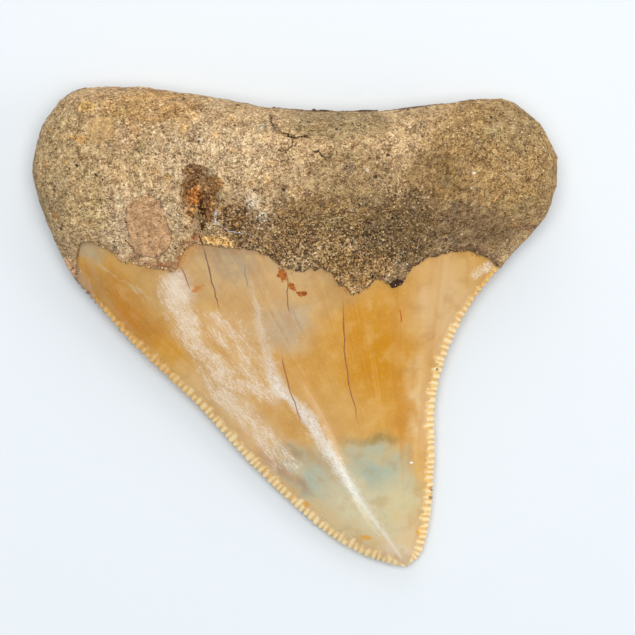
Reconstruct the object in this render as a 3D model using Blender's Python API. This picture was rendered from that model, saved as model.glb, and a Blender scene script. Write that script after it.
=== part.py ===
"""A fossil megalodon tooth, lying on its flatter outer face.

The tooth is one piece: a thick, rounded root with two lobes, and an enamel crown that
leans to one side and ends in serrated cutting edges.

Frame: +X to the right of the tooth, +Y from the tip towards the root, +Z up.
The origin is on the surface that the tooth lies on, at the middle of its outline box.
The figures below are in millimetres, and MM turns them into Blender's metres.
"""

import math

import bpy
import numpy as np
from mathutils import Vector, noise

MM = 0.001

# --- Driving dimensions ---------------------------------------------------------------

ROOT_WIDTH = 80.0  # across the two root lobes
TOOTH_LENGTH = 73.5  # from the tip to the top of the root, measured square to the width
ROOT_THICKNESS = 17.4  # at the swelling in the middle of the root
LOBE_THICKNESS = 11.6  # at the ends of the root
CROWN_THICKNESS = 12.6  # where the enamel leaves the root
SERRATION_DEPTH = 0.45

# --- Outline, seen from above ---------------------------------------------------------

DRAWN_WIDTH, DRAWN_LENGTH = 80.0, 73.5  # the size at which the points below were drawn


def drawn(*points):
    """Points of the drawing, fitted to the tooth's own width and length."""
    return [(x * ROOT_WIDTH / DRAWN_WIDTH, y * TOOTH_LENGTH / DRAWN_LENGTH) for x, y in points]


# Each side runs from the shoulder of the root, round its lobe and down to the tip.
TIP = drawn((17.2, -36.7))[0]
LEFT_ROOT = drawn((-31.0, 36.7), (-35.2, 35.0), (-38.4, 31.0), (-40.0, 25.0), (-39.3, 19.8), (-36.8, 13.2))
LEFT_CUTTING_EDGE = drawn((-33.7, 7.5), (-30.0, 3.1), (-24.4, -3.1), (-14.9, -12.2), (-6.5, -21.4))
LEFT_CUTTING_EDGE += drawn((3.4, -30.6), (9.6, -34.6), (14.4, -36.35))
RIGHT_ROOT = drawn((31.0, 34.9), (35.0, 33.1), (38.3, 29.6), (40.0, 24.5), (38.9, 18.6), (36.2, 14.6))
RIGHT_CUTTING_EDGE = drawn((31.4, 9.2), (26.7, 3.1), (23.3, -4.0), (21.5, -11.5), (21.4, -21.0))
RIGHT_CUTTING_EDGE += drawn((20.7, -29.5), (19.4, -34.6))
ROOT_TOP = [LEFT_ROOT[0], *drawn((-21.6, 36.5), (-12.5, 35.0), (-3.0, 33.5), (6.0, 32.9), (15.0, 33.2))]
ROOT_TOP += [*drawn((24.0, 34.3)), RIGHT_ROOT[0]]

# The line where the enamel meets the root, on the upper (inner) and the under (outer) face.
GUM_LINE_UPPER = [LEFT_CUTTING_EDGE[0], *drawn((-32.6, 13.0), (-29.1, 12.2), (-25.9, 10.2), (-21.3, 9.0))]
GUM_LINE_UPPER += drawn((-18.1, 8.8), (-16.3, 12.2), (-9.9, 12.2), (-4.8, 11.2), (-1.1, 8.7), (4.6, 8.9))
GUM_LINE_UPPER += drawn((7.0, 6.3), (9.4, 5.2), (12.2, 7.0), (15.8, 6.5), (18.1, 9.5), (23.8, 11.6))
GUM_LINE_UPPER += [*drawn((28.7, 10.9)), RIGHT_CUTTING_EDGE[0]]
GUM_LINE_UNDER = [LEFT_CUTTING_EDGE[0], *drawn((-24.0, 12.8), (-8.0, 12.6), (6.0, 12.0), (20.0, 13.2))]
GUM_LINE_UNDER += [RIGHT_CUTTING_EDGE[0]]
GUM_BENDS_REACH = (0.06, 0.35)  # its bends die out over this share of the crown: beside an edge, and inside
GUM_BENDS_SIDE = 8.0  # how far in from an edge that share is at its largest

# --- Heights above the surface that the tooth lies on ---------------------------------

ROOT_RIM_HEIGHT = 5.4  # the widest girth of the root
CROWN_RIM_HEIGHT = 4.0  # the cutting edges, beside the root
TIP_RIM_HEIGHT = 1.4  # and at the tip
TIP_HEIGHT = 2.4  # the top of the tip
ROOT_ROUNDING = 8.5  # how far in from its rim the root goes on rounding over
ENAMEL_STEP = 0.7  # the root stands this much proud of the enamel
ROOT_START = 9.0  # how far up the root begins to leave the crown's form
ROOT_RISE = 12.0  # and over what length it does so
SWELLING_REACH = 0.27  # how far the swelling spreads from the middle, as a share of the width
SWELLING_LOW = 0.4  # what is left of the swelling where the root meets the crown

RIDGE_TOP = drawn((-1.5, 10.0))[0]  # the crown's ridge runs from here to the tip
RIDGE_FALL = 1.15  # above 1, the ridge falls more steeply towards the tip
CROWN_ROUNDNESS = 2.1  # the power of the crown's curve from the ridge to an edge, beside the root
TIP_ROUNDNESS = 1.6  # and at the tip

FLAT_SINK = 0.3  # the outer face is worn flat where it would go this far below the surface
UNDER_HOLLOW = 0.9  # depth of the hollow between the lobes, on the outer face
UNDER_HOLLOW_REACH = 16.0
TIP_LIFT = 0.7  # the outer face rises this far towards the tip
UNDER_STEP = 0.5  # the enamel's step on the outer face, as a share of ENAMEL_STEP
UNDER_STEP_REACH = 0.3  # the share of the crown over which that step fades out

# --- Features of the root's upper face ------------------------------------------------

NUTRIENT_PIT = dict(centre=(-14.2, 19.4), radii=(3.0, 4.6), depth=2.0)
CHIPPED_PLATE = dict(centre=(-9.0, 16.6), radii=(3.6, 3.2), depth=0.6)
SCAR = dict(centre=(-22.2, 15.3), radii=(3.7, 4.7), depth=0.5)
HOLLOW_FLOOR = 0.55  # the share of a hollow's radius that is level
HOLLOW_RIM = 0.6  # and the share over which its side rises
LUMP_SIZE, SMALL_LUMP_SIZE = 8.0, 3.5
LUMP_HEIGHT, SMALL_LUMP_HEIGHT = 0.75, 0.3
CRUST_LUMPS = 0.5  # the share of the lumps that shows where the root thins out over the enamel

# --- Mesh density ---------------------------------------------------------------------

COLUMNS = 34  # across each face
COLUMNS_CROWDING = 0.65  # 0 spaces a root row's columns evenly, and 1 crowds them at the rim like a circle's
ROOT_ROWS = 24
ROWS_CROWDING = 1.35  # above 1, the rows are closer together at the root's rounded top
CROWN_ROWS = 36
LEFT_STEPS_PER_ROW = 4  # two steps make one serration, so this gives 72 of them
RIGHT_STEPS_PER_ROW = 3  # and this 54
WORN_TIP = 0.1  # the share of each cutting edge over which the serrations wear away to the tip
STEP_SHARE = 0.018  # of the root's side, taken by the enamel's step
MARGIN = 1.3  # width of the strip along a cutting edge that carries the serrations
MOST_MARGIN = 0.2  # and its largest share of a row, near the tip
MARGIN_START = 0.7  # the share of the root's side where the strip begins to form


def smooth_line(points, before=None, after=None, steps=16):
    """A Catmull-Rom curve through the points, which comes from `before` and heads for `after`."""
    p = np.array(points, float)
    before = 2 * p[0] - p[1] if before is None else before
    after = 2 * p[-1] - p[-2] if after is None else after
    p = np.vstack([before, p, after])
    t = np.linspace(0, 1, steps, endpoint=False)[:, None]
    runs = []
    for a, b, c, d in zip(p, p[1:], p[2:], p[3:]):
        straight = 2 * b + (c - a) * t
        runs.append((straight + (2 * a - 5 * b + 4 * c - d) * t**2 + (3 * b - a - 3 * c + d) * t**3) / 2)
    return np.vstack([*runs, p[-2]])


def at_shares(line, shares):
    """Points at these shares of the line's length, from 0 to 1."""
    along = np.concatenate([[0], np.cumsum(np.linalg.norm(np.diff(line, axis=0), axis=1))])
    wanted = np.asarray(shares) * along[-1]
    return np.stack([np.interp(wanted, along, line[:, k]) for k in range(2)], axis=-1)


def split(line, point):
    """The line's parts before and after the given point on it."""
    i = int(np.argmin(np.linalg.norm(line - np.array(point), axis=1)))
    return line[: i + 1], line[i:]


LEFT_SIDE = smooth_line(LEFT_ROOT + LEFT_CUTTING_EDGE + [TIP], before=ROOT_TOP[1])
RIGHT_SIDE = smooth_line(RIGHT_ROOT + RIGHT_CUTTING_EDGE + [TIP], before=ROOT_TOP[-2])
LEFT_LINE, LEFT_EDGE = split(LEFT_SIDE, LEFT_CUTTING_EDGE[0])
RIGHT_LINE, RIGHT_EDGE = split(RIGHT_SIDE, RIGHT_CUTTING_EDGE[0])
TOP_LINE = smooth_line(ROOT_TOP, before=LEFT_ROOT[1], after=RIGHT_ROOT[1])
OUTLINE = np.vstack([TOP_LINE, RIGHT_LINE[1:], RIGHT_EDGE[1:], LEFT_EDGE[::-1][1:], LEFT_LINE[::-1][1:-1]])


def ease(x):
    """0 below 0, 1 above 1, and a smooth S between."""
    x = np.clip(x, 0, 1)
    return x * x * (3 - 2 * x)


def from_rim(x, y):
    """How far each point is inside the outline."""
    points = np.stack([x, y], axis=-1)[..., None, :]
    start = OUTLINE
    run = np.roll(OUTLINE, -1, axis=0) - OUTLINE
    share = np.clip(((points - start) * run).sum(-1) / (run**2).sum(-1), 0, 1)
    return np.linalg.norm(points - start - share[..., None] * run, axis=-1).min(-1)


def bulge_of(line, u):
    """How far a line rises above the straight run between its ends, at shares u of that run."""
    flat = np.interp(u, [0, 1], [line[0, 1], line[-1, 1]])
    shares = (line[:, 0] - line[0, 0]) / (line[-1, 0] - line[0, 0])
    return np.interp(u, shares, line[:, 1]) - flat


def inward(points, into):
    """Unit directions square to a line of points, to its left (into = 1) or its right (into = -1)."""
    along = np.gradient(points, axis=0)
    across = np.stack([-along[:, 1], along[:, 0]], axis=1) * into
    return across / np.linalg.norm(across, axis=1)[:, None]


def rows_of(gum_line):
    """(x, y, is it on enamel) over the grid on one face. Rows follow the root's top, then the gum line."""
    gum = smooth_line(gum_line)
    # The root's last two rows are the edge of the enamel's step.
    root_shares = np.append(np.linspace(0, 1, ROOT_ROWS) ** ROWS_CROWDING * (1 - STEP_SHARE), 1)
    crown_shares = np.linspace(0, 1, CROWN_ROWS + 1)[1:]
    lefts = np.vstack([at_shares(LEFT_LINE, root_shares), at_shares(LEFT_EDGE, crown_shares)])
    rights = np.vstack([at_shares(RIGHT_LINE, root_shares), at_shares(RIGHT_EDGE, crown_shares)])
    roots = np.append(root_shares, np.ones(CROWN_ROWS))
    crowns = np.append(np.zeros(ROOT_ROWS + 1), crown_shares)
    even = np.linspace(0, 1, COLUMNS + 1)
    crowded = even + COLUMNS_CROWDING * ((1 - np.cos(math.pi * even)) / 2 - even)
    shortest_reach, longest_reach = GUM_BENDS_REACH
    xs, ys = [], []
    for left, right, to_right, to_left, root, crown in zip(
        lefts, rights, inward(lefts, 1), inward(rights, -1), roots, crowns
    ):
        # The root's columns crowd towards its rounded rim, and the crown's leave a strip along each edge.
        width = np.linalg.norm(right - left)
        strip = min(MARGIN, MOST_MARGIN * width)
        between_strips = np.linspace(left + to_right * strip, right + to_left * strip, COLUMNS - 1)
        narrow = np.vstack([left, between_strips, right])
        round_rim = left + (right - left) * crowded[:, None]
        sharp = ease((root - MARGIN_START) / (1 - MARGIN_START))
        line = round_rim + (narrow - round_rim) * sharp
        u = (line[:, 0] - left[0]) / max(right[0] - left[0], 1e-6)
        rise = bulge_of(TOP_LINE, u) * (1 - root) ** 2
        # The gum line's bends die out down the crown, and do so sooner beside a cutting edge.
        inside = ease(np.minimum(u, 1 - u) * width / GUM_BENDS_SIDE)
        reach = shortest_reach + (longest_reach - shortest_reach) * inside
        rise = rise + bulge_of(gum, u) * root**2 * (1 - ease(crown / reach))
        xs.append(line[:, 0])
        ys.append(line[:, 1] + rise)
    xs, ys = np.array(xs), np.array(ys)
    return xs, ys, np.broadcast_to(roots[:, None] >= 1, xs.shape)


def down_crown(y):
    """0 where the crown's ridge starts, and 1 at the tip."""
    return np.clip((RIDGE_TOP[1] - y) / (RIDGE_TOP[1] - TIP[1]), 0, 1)


def up_root(y):
    """0 where the root begins to leave the crown's form, and 1 where it has a form of its own."""
    return ease((y - ROOT_START) / ROOT_RISE)


def rim_height(y):
    """Height of the rim: the root's girth, then the cutting edges down to the tip."""
    edge = CROWN_RIM_HEIGHT + (TIP_RIM_HEIGHT - CROWN_RIM_HEIGHT) * down_crown(y)
    return edge + (ROOT_RIM_HEIGHT - edge) * up_root(y)


def dish(x, y, centre, radii, depth):
    """Depth of an oval hollow with a soft rim."""
    away = np.hypot((x - centre[0]) / radii[0], (y - centre[1]) / radii[1])
    return depth * (1 - ease((away - HOLLOW_FLOOR) / HOLLOW_RIM))


def lumps(x, y):
    """The root's uneven surface: soft lumps of two sizes, worked out from smooth noise."""
    height = np.zeros_like(x)
    for size, rise in ((LUMP_SIZE, LUMP_HEIGHT), (SMALL_LUMP_SIZE, SMALL_LUMP_HEIGHT)):
        for i in np.ndindex(x.shape):
            height[i] += rise * noise.noise(Vector((x[i] / size, y[i] / size, 0)))
    return height


def across_crown(x, y):
    """0 on the crown's ridge, and 1 at the cutting edge on either side of it."""
    ridge = RIDGE_TOP[0] + (TIP[0] - RIDGE_TOP[0]) * down_crown(y)
    left, right = (np.interp(y, side[::-1, 1], side[::-1, 0]) for side in (LEFT_SIDE, RIGHT_SIDE))
    to_left = (ridge - x) / np.maximum(ridge - left, 1e-6)
    to_right = (x - ridge) / np.maximum(right - ridge, 1e-6)
    return np.clip(np.where(x < ridge, to_left, to_right), 0, 1)


def upper_face(x, y, on_enamel):
    """Height of the upper (inner) face: a swollen root, and a crown like half a lens."""
    rim, own_form = rim_height(y), up_root(y)
    inside = np.clip(from_rim(x, y) / ROOT_ROUNDING, 0, 1)
    rounded = np.sqrt(1 - (1 - inside) ** 2)
    swelling = np.exp(-((x / (SWELLING_REACH * ROOT_WIDTH)) ** 2))
    swelling = swelling * (SWELLING_LOW + (1 - SWELLING_LOW) * own_form)
    lumpy = lumps(x, y)
    root = rim + (LOBE_THICKNESS + (ROOT_THICKNESS - LOBE_THICKNESS) * swelling - rim + lumpy) * rounded
    for hollow in (NUTRIENT_PIT, CHIPPED_PLATE, SCAR):
        root -= rounded * dish(x, y, **hollow)

    down = down_crown(y)
    ridge = CROWN_THICKNESS + (TIP_HEIGHT - CROWN_THICKNESS) * down**RIDGE_FALL
    lens = 1 - across_crown(x, y) ** (CROWN_ROUNDNESS + (TIP_ROUNDNESS - CROWN_ROUNDNESS) * down)
    crown = rim + (ridge - rim) * lens
    crust = crown + (ENAMEL_STEP + CRUST_LUMPS * lumpy) * np.sqrt(lens)
    return np.where(on_enamel, crown, np.maximum(crust + (root - crust) * own_form, rim))


def under_face(x, y, on_enamel):
    """Height of the under (outer) face: nearly flat, and worn level where it touches down."""
    rim, own_form = rim_height(y), up_root(y)
    inside = np.clip(from_rim(x, y) / ROOT_ROUNDING, 0, 1)
    hollow = UNDER_HOLLOW * np.exp(-((x / UNDER_HOLLOW_REACH) ** 2)) * own_form
    root = (rim + FLAT_SINK - hollow) * np.sqrt(1 - (1 - inside) ** 2)
    down = down_crown(y)
    lens = 1 - across_crown(x, y) ** 2
    step = UNDER_STEP * ENAMEL_STEP * on_enamel * (1 - ease(down / UNDER_STEP_REACH))
    crown = (rim + FLAT_SINK - TIP_LIFT * down**2 - step) * lens
    return np.maximum(rim - crown - (root - crown) * own_form, 0)


def serrated(edge, steps_per_row, into):
    """The cutting edge's points: every other one is moved in, towards `into`, which leaves small teeth."""
    count = CROWN_ROWS * steps_per_row
    shares = np.linspace(0, 1, count + 1)
    points = at_shares(edge, shares)
    unworn = np.clip((1 - shares) / WORN_TIP, 0, 1)
    notches = (np.arange(count + 1) % 2) * unworn * SERRATION_DEPTH
    return points + inward(points, into) * notches[:, None]


def stitched(coarse, fine):
    """Triangles between a line of points and a finer one beside it, fanned out from each coarse point."""
    steps = len(coarse) - 1
    ratio = (len(fine) - 1) // steps
    faces = []
    for i in range(steps):
        first, last = i * ratio, (i + 1) * ratio
        # Both lines end in the same point at the tip, so the last fan stays with the point before it.
        middle = last if coarse[i + 1] == fine[last] else first + ratio // 2
        faces += [(coarse[i], fine[k], fine[k + 1]) for k in range(first, middle)]
        if coarse[i + 1] != fine[middle]:
            faces.append((coarse[i], fine[middle], coarse[i + 1]))
        faces += [(coarse[i + 1], fine[k], fine[k + 1]) for k in range(middle, last)]
    return faces


def in_quads(grid):
    """Quads over a grid of vertex numbers."""
    return [
        (grid[i][j], grid[i + 1][j], grid[i + 1][j + 1], grid[i][j + 1])
        for i in range(len(grid) - 1)
        for j in range(len(grid[0]) - 1)
    ]


def build_tooth():
    """The tooth's closed mesh: two faces of rows and columns that share one rim."""
    points = []

    def add(x, y, z):
        points.append((float(x), float(y), float(z)))
        return len(points) - 1

    rows = ROOT_ROWS + CROWN_ROWS
    upper = rows_of(GUM_LINE_UPPER)
    under = rows_of(GUM_LINE_UNDER)

    # The rim: the root's top edge, then each side in turn, from the shoulder to the tip.
    top_rim = [add(x, y, ROOT_RIM_HEIGHT) for x, y in zip(upper[0][0], upper[1][0])]
    tip = add(*TIP, TIP_RIM_HEIGHT)
    rims = []
    for column, corner, edge, steps, into in (
        (0, top_rim[0], LEFT_EDGE, LEFT_STEPS_PER_ROW, 1),
        (-1, top_rim[-1], RIGHT_EDGE, RIGHT_STEPS_PER_ROW, -1),
    ):
        root_side = [corner]
        for x, y in zip(upper[0][1 : ROOT_ROWS + 1, column], upper[1][1 : ROOT_ROWS + 1, column]):
            root_side.append(add(x, y, rim_height(y)))
        teeth = serrated(edge, steps, into)[1:-1]
        crown_side = [root_side[-1], *[add(x, y, rim_height(y)) for x, y in teeth], tip]
        rims.append((root_side, crown_side))

    faces = []
    for (x, y, on_enamel), height, flip in ((upper, upper_face, False), (under, under_face, True)):
        z = height(x, y, on_enamel)
        inner = [top_rim[1:-1]]
        for i in range(1, rows):
            inner.append([add(x[i, j], y[i, j], z[i, j]) for j in range(1, COLUMNS)])
        made = in_quads(inner)
        for (root_side, crown_side), column, turned in ((rims[0], 0, False), (rims[1], -1, True)):
            beside = [row[column] for row in inner] + [tip]
            strip = stitched(beside[: ROOT_ROWS + 1], root_side) + stitched(beside[ROOT_ROWS:], crown_side)
            made += [face[::-1] if turned else face for face in strip]
        made += [(inner[-1][j], tip, inner[-1][j + 1]) for j in range(COLUMNS - 2)]
        faces += [face[::-1] if flip else face for face in made]
    return np.array(points), faces


def material(name, colour, roughness):
    made = bpy.data.materials.new(name)
    made.use_nodes = True
    shader = made.node_tree.nodes["Principled BSDF"]
    shader.inputs["Base Color"].default_value = (*colour, 1)
    shader.inputs["Roughness"].default_value = roughness
    return made


def main():
    for obj in list(bpy.data.objects):
        bpy.data.objects.remove(obj)

    points, faces = build_tooth()
    middle = (points.min(axis=0) + points.max(axis=0)) / 2
    points -= (middle[0], middle[1], points[:, 2].min())
    mesh = bpy.data.meshes.new("tooth")
    mesh.from_pydata((points * MM).tolist(), [], faces)
    mesh.validate()
    mesh.shade_smooth()
    mesh.set_sharp_from_angle(angle=math.radians(50))
    mesh.materials.append(material("tooth", (0.45, 0.29, 0.14), 0.5))

    tooth = bpy.data.objects.new("tooth", mesh)
    collection = bpy.data.collections.new("megalodon tooth")
    bpy.context.scene.collection.children.link(collection)
    collection.objects.link(tooth)
    print("tooth box, mm:", (points.max(axis=0) - points.min(axis=0)).round(2))


main()
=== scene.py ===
# %% [markdown]
# # A fossil megalodon tooth
# The tooth lies on its flat outer face. Its root is coarse, sandy bone, and its crown is
# smooth amber enamel with a row of tiny teeth along each cutting edge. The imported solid
# gives the frame: +X to the right, +Y from the tip towards the root, +Z up. Everything is
# built in millimetres, and turned into metres at the end.

# %% The frame
import itertools
import math
import time

import bpy
import numpy as np
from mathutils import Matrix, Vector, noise


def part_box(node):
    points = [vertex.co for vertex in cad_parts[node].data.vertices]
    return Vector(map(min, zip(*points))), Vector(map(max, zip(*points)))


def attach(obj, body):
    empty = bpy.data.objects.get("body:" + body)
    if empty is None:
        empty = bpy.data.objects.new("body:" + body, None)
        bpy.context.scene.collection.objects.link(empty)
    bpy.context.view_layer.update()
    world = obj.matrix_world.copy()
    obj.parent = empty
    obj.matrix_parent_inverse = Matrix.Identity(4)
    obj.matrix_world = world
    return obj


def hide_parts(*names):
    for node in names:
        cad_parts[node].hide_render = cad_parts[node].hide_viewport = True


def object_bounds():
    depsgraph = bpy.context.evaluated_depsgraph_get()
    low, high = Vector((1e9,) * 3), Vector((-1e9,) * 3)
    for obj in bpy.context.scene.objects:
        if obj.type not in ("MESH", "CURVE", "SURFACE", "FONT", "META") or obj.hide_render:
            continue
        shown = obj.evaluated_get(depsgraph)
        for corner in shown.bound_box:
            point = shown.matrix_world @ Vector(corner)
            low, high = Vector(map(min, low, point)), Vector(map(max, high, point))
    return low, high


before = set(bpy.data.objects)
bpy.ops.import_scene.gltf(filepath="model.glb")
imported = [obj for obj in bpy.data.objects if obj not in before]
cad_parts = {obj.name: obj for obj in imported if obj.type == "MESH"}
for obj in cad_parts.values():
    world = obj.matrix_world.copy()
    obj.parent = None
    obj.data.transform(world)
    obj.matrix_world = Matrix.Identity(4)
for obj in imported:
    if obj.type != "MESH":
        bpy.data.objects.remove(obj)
cad_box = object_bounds()
started = time.time()
MM = 0.001
tooth_low, tooth_high = (np.array(corner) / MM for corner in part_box("tooth"))
print("solid, mm:", (tooth_high - tooth_low).round(1))

# %% [markdown]
# ## Floor, light and camera
# The tooth lies on a bright white sheet, seen from straight above. A long lens keeps the
# outline true, because the tip is lower than the root. Wide soft panels leave hardly a
# shadow. Two small ones low to the left are seen in the enamel's gloss alone, as streaks.

# %% Floor, light and camera
VIEW_CENTRE = (3.4, 1.5)
VIEW_WIDTH = 97.1
LENS, SENSOR = 180, 36
OUTLINE_HEIGHT = 3.5
WARM_WHITE = (1, 0.96, 0.925)
ROOM_COLOUR, ROOM_STRENGTH = (0.82, 0.92, 1), 0.36
SHEET_COLOUR = (228, 234, 239)
SHEET_HALF = 3  # metres
SHEET_DROP = 0.00002  # metres below the tooth, so that the two don't touch
PANELS = {  # middle and size in millimetres, watts
    "overhead_panel": ((10, 60, 600), (480, 420), 2.8),
    "window_panel": ((0, 650, 260), (800, 420), 1.9),
    "right_panel": ((650, 40, 260), (420, 300), 1.2),
}
MIRRORED_PANELS = {
    "streak_panel": ((-127, -385, 520), (28, 96), 0.3),
    "side_panel": ((-430, -520, 500), (130, 240), 0.5),
}


def srgb(red, green, blue):
    """A colour given from 0 to 255, as the linear values that light uses."""
    shares = (c / 255 for c in (red, green, blue))
    return tuple(((c + 0.055) / 1.055) ** 2.4 if c > 10 / 255 else c / 12.92 for c in shares)


def in_scene(name, data):
    thing = bpy.data.objects.new(name, data)
    bpy.context.scene.collection.objects.link(thing)
    return thing


def place_camera():
    data = bpy.data.cameras.new("overhead")
    data.lens, data.sensor_width = LENS, SENSOR
    data.clip_start, data.clip_end = 0.01, 10
    camera = in_scene("overhead", data)
    camera.location = [c * MM for c in (*VIEW_CENTRE, VIEW_WIDTH * LENS / SENSOR + OUTLINE_HEIGHT)]
    bpy.context.scene.camera = camera


def lay_floor():
    data = bpy.data.meshes.new("white_sheet")
    corners = [(x * SHEET_HALF, y * SHEET_HALF, 0) for x, y in ((-1, -1), (1, -1), (1, 1), (-1, 1))]
    data.from_pydata(corners, [], [range(4)])
    paper = bpy.data.materials.new("white_sheet")
    paper.use_nodes = True
    inputs = paper.node_tree.nodes["Principled BSDF"].inputs
    inputs["Base Color"].default_value = (*srgb(*SHEET_COLOUR), 1)
    inputs["Roughness"].default_value = 0.9
    inputs["Specular IOR Level"].default_value = 0.1
    data.materials.append(paper)
    sheet = in_scene("white_sheet", data)
    sheet.location.z = -SHEET_DROP


def hang_panels(panels, mirrored):
    """Rectangular lights that face the tooth. Gloss shows the mirrored ones alone, and nothing else does."""
    for name, (place, size, watts) in panels.items():
        data = bpy.data.lights.new(name, "AREA")
        data.shape = "RECTANGLE"
        data.size, data.size_y = (side * MM for side in size)
        data.energy, data.color = watts, WARM_WHITE
        light = in_scene(name, data)
        light.location = [c * MM for c in place]
        light.rotation_euler = light.location.to_track_quat("Z", "Y").to_euler()
        light.visible_diffuse, light.visible_glossy = not mirrored, mirrored


def light_the_room():
    world = bpy.data.worlds.new("room")
    world.use_nodes = True
    inputs = world.node_tree.nodes["Background"].inputs
    inputs["Color"].default_value, inputs["Strength"].default_value = (*ROOM_COLOUR, 1), ROOM_STRENGTH
    bpy.context.scene.world = world
    bpy.context.scene.view_settings.view_transform = "Standard"
    hang_panels(PANELS, False)
    hang_panels(MIRRORED_PANELS, True)


place_camera()
lay_floor()
light_the_room()

# %% [markdown]
# ## The outline
# A smooth curve through a few points draws each stretch of the outline: the root's top, and
# each side from its shoulder round the lobe and down the cutting edge to the tip. They are
# the solid's own points, so the finished tooth fits it all round.

# %% The outline
TIP = (17.2, -36.7)
LEFT_ROOT = [(-31, 36.7), (-35.2, 35), (-38.4, 31), (-40, 25), (-39.3, 19.8), (-36.8, 13.2)]
LEFT_CUTTING_EDGE = [(-33.7, 7.5), (-30, 3.1), (-24.4, -3.1), (-14.9, -12.2), (-6.5, -21.4)]
LEFT_CUTTING_EDGE += [(3.4, -30.6), (9.6, -34.6), (14.4, -36.35)]
RIGHT_ROOT = [(31, 34.9), (35, 33.1), (38.3, 29.6), (40, 24.5), (38.9, 18.6), (36.2, 14.6)]
RIGHT_CUTTING_EDGE = [(31.4, 9.2), (26.7, 3.1), (23.3, -4), (21.5, -11.5), (21.4, -21)]
RIGHT_CUTTING_EDGE += [(20.7, -29.5), (19.4, -34.6)]
ROOT_TOP = [LEFT_ROOT[0], (-21.6, 36.5), (-12.5, 35), (-3, 33.5), (6, 32.9), (15, 33.2)]
ROOT_TOP += [(24, 34.3), RIGHT_ROOT[0]]
GUM_LINE_UPPER = [LEFT_CUTTING_EDGE[0], (-32.6, 13), (-29.1, 12.2), (-25.9, 10.2), (-21.3, 9), (-18.1, 8.8)]
GUM_LINE_UPPER += [(-16.3, 12.2), (-9.9, 12.2), (-4.8, 11.2), (-1.1, 8.7), (4.6, 8.9), (7, 6.3), (9.4, 5.2)]
GUM_LINE_UPPER += [(12.2, 7), (15.8, 6.5), (18.1, 9.5), (23.8, 11.6), (28.7, 10.9), RIGHT_CUTTING_EDGE[0]]
GUM_LINE_UNDER = [LEFT_CUTTING_EDGE[0], (-24, 12.8), (-8, 12.6), (6, 12), (20, 13.2), RIGHT_CUTTING_EDGE[0]]
CURVE_STEPS = 24  # between two given points


def smooth_line(points, before=None, after=None):
    """A Catmull-Rom curve through the points. It leaves as if from `before` to `after`."""
    p = np.array(points, float)
    before = 2 * p[0] - p[1] if before is None else before
    after = 2 * p[-1] - p[-2] if after is None else after
    p = np.vstack([before, p, after])
    t = np.linspace(0, 1, CURVE_STEPS, endpoint=False)[:, None]
    runs = []
    for a, b, c, d in zip(p, p[1:], p[2:], p[3:]):
        bend = (2 * a - 5 * b + 4 * c - d) * t**2 + (3 * b - a - 3 * c + d) * t**3
        runs.append(0.5 * (2 * b + (c - a) * t + bend))
    return np.vstack([*runs, p[-2]])


def at_shares(line, shares):
    """Points at these shares of the line's length, from 0 to 1."""
    along = np.concatenate([[0], np.cumsum(np.linalg.norm(np.diff(line, axis=0), axis=1))])
    return np.stack([np.interp(shares * along[-1], along, line[:, k]) for k in range(2)], axis=-1)


def split(line, point):
    """The line's parts before and after the given point on it."""
    i = int(np.argmin(np.linalg.norm(line - np.array(point), axis=1)))
    return line[: i + 1], line[i:]


LEFT_SIDE = smooth_line(LEFT_ROOT + LEFT_CUTTING_EDGE + [TIP], before=ROOT_TOP[1])
RIGHT_SIDE = smooth_line(RIGHT_ROOT + RIGHT_CUTTING_EDGE + [TIP], before=ROOT_TOP[-2])
LEFT_LINE, LEFT_EDGE = split(LEFT_SIDE, LEFT_CUTTING_EDGE[0])
RIGHT_LINE, RIGHT_EDGE = split(RIGHT_SIDE, RIGHT_CUTTING_EDGE[0])
TOP_LINE = smooth_line(ROOT_TOP, before=LEFT_ROOT[1], after=RIGHT_ROOT[1])
OUTLINE = np.vstack([TOP_LINE, RIGHT_SIDE[1:], LEFT_SIDE[::-1][1:-1]])
outline_middle = (OUTLINE.min(axis=0) + OUTLINE.max(axis=0)) / 2
SHIFT = np.append((tooth_low + tooth_high)[:2] / 2 - outline_middle, 0)
print("outline, mm:", np.ptp(OUTLINE, axis=0).round(2), "moved by", SHIFT.round(3))

# %% [markdown]
# ## The tooth's form
# The height of each face is a formula of the place on the tooth. The root is a pad with a
# rounded rim and a swelling in the middle, and the crown is like half a lens on a ridge
# that runs down to the tip. The under face is nearly flat. These are the solid's own
# heights, and the fine relief is added to them later.

# %% The tooth's form
ROOT_WIDTH = 80
ROOT_THICKNESS, LOBE_THICKNESS, CROWN_THICKNESS, TIP_HEIGHT = 17.4, 11.6, 12.6, 2.4
ROOT_RIM_HEIGHT, CROWN_RIM_HEIGHT, TIP_RIM_HEIGHT = 5.4, 4, 1.4
ROOT_ROUNDING, TIP_ROUNDING = 8.5, 2.6
ENAMEL_STEP = 0.7
RIDGE_TOP = (-1.5, 10)
ROOT_START, ROOT_RISE = 9, 12
SWELLING_REACH, SWELLING_LOW = 0.27, 0.4
RIDGE_FALL, CROWN_ROUNDNESS, TIP_ROUNDNESS = 1.15, 2.1, 1.6
FLAT_SINK = 0.3
UNDER_HOLLOW, UNDER_HOLLOW_REACH = 0.9, 16
TIP_LIFT, UNDER_STEP, UNDER_STEP_REACH = 0.7, 0.5, 0.3
LUMP_SIZE, LUMP_HEIGHT, CRUST_LUMPS = 8, 0.75, 0.5
NUTRIENT_PIT = dict(centre=(-14.2, 19.4), radii=(3, 4.6), depth=2)
CHIPPED_PLATE = dict(centre=(-9, 16.6), radii=(3.6, 3.2), depth=0.6)
SCAR = dict(centre=(-22.2, 15.3), radii=(3.7, 4.7), depth=0.5)


def ease(x):
    """0 below 0, 1 above 1, and a smooth S between."""
    x = np.clip(x, 0, 1)
    return x * x * (3 - 2 * x)


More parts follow.
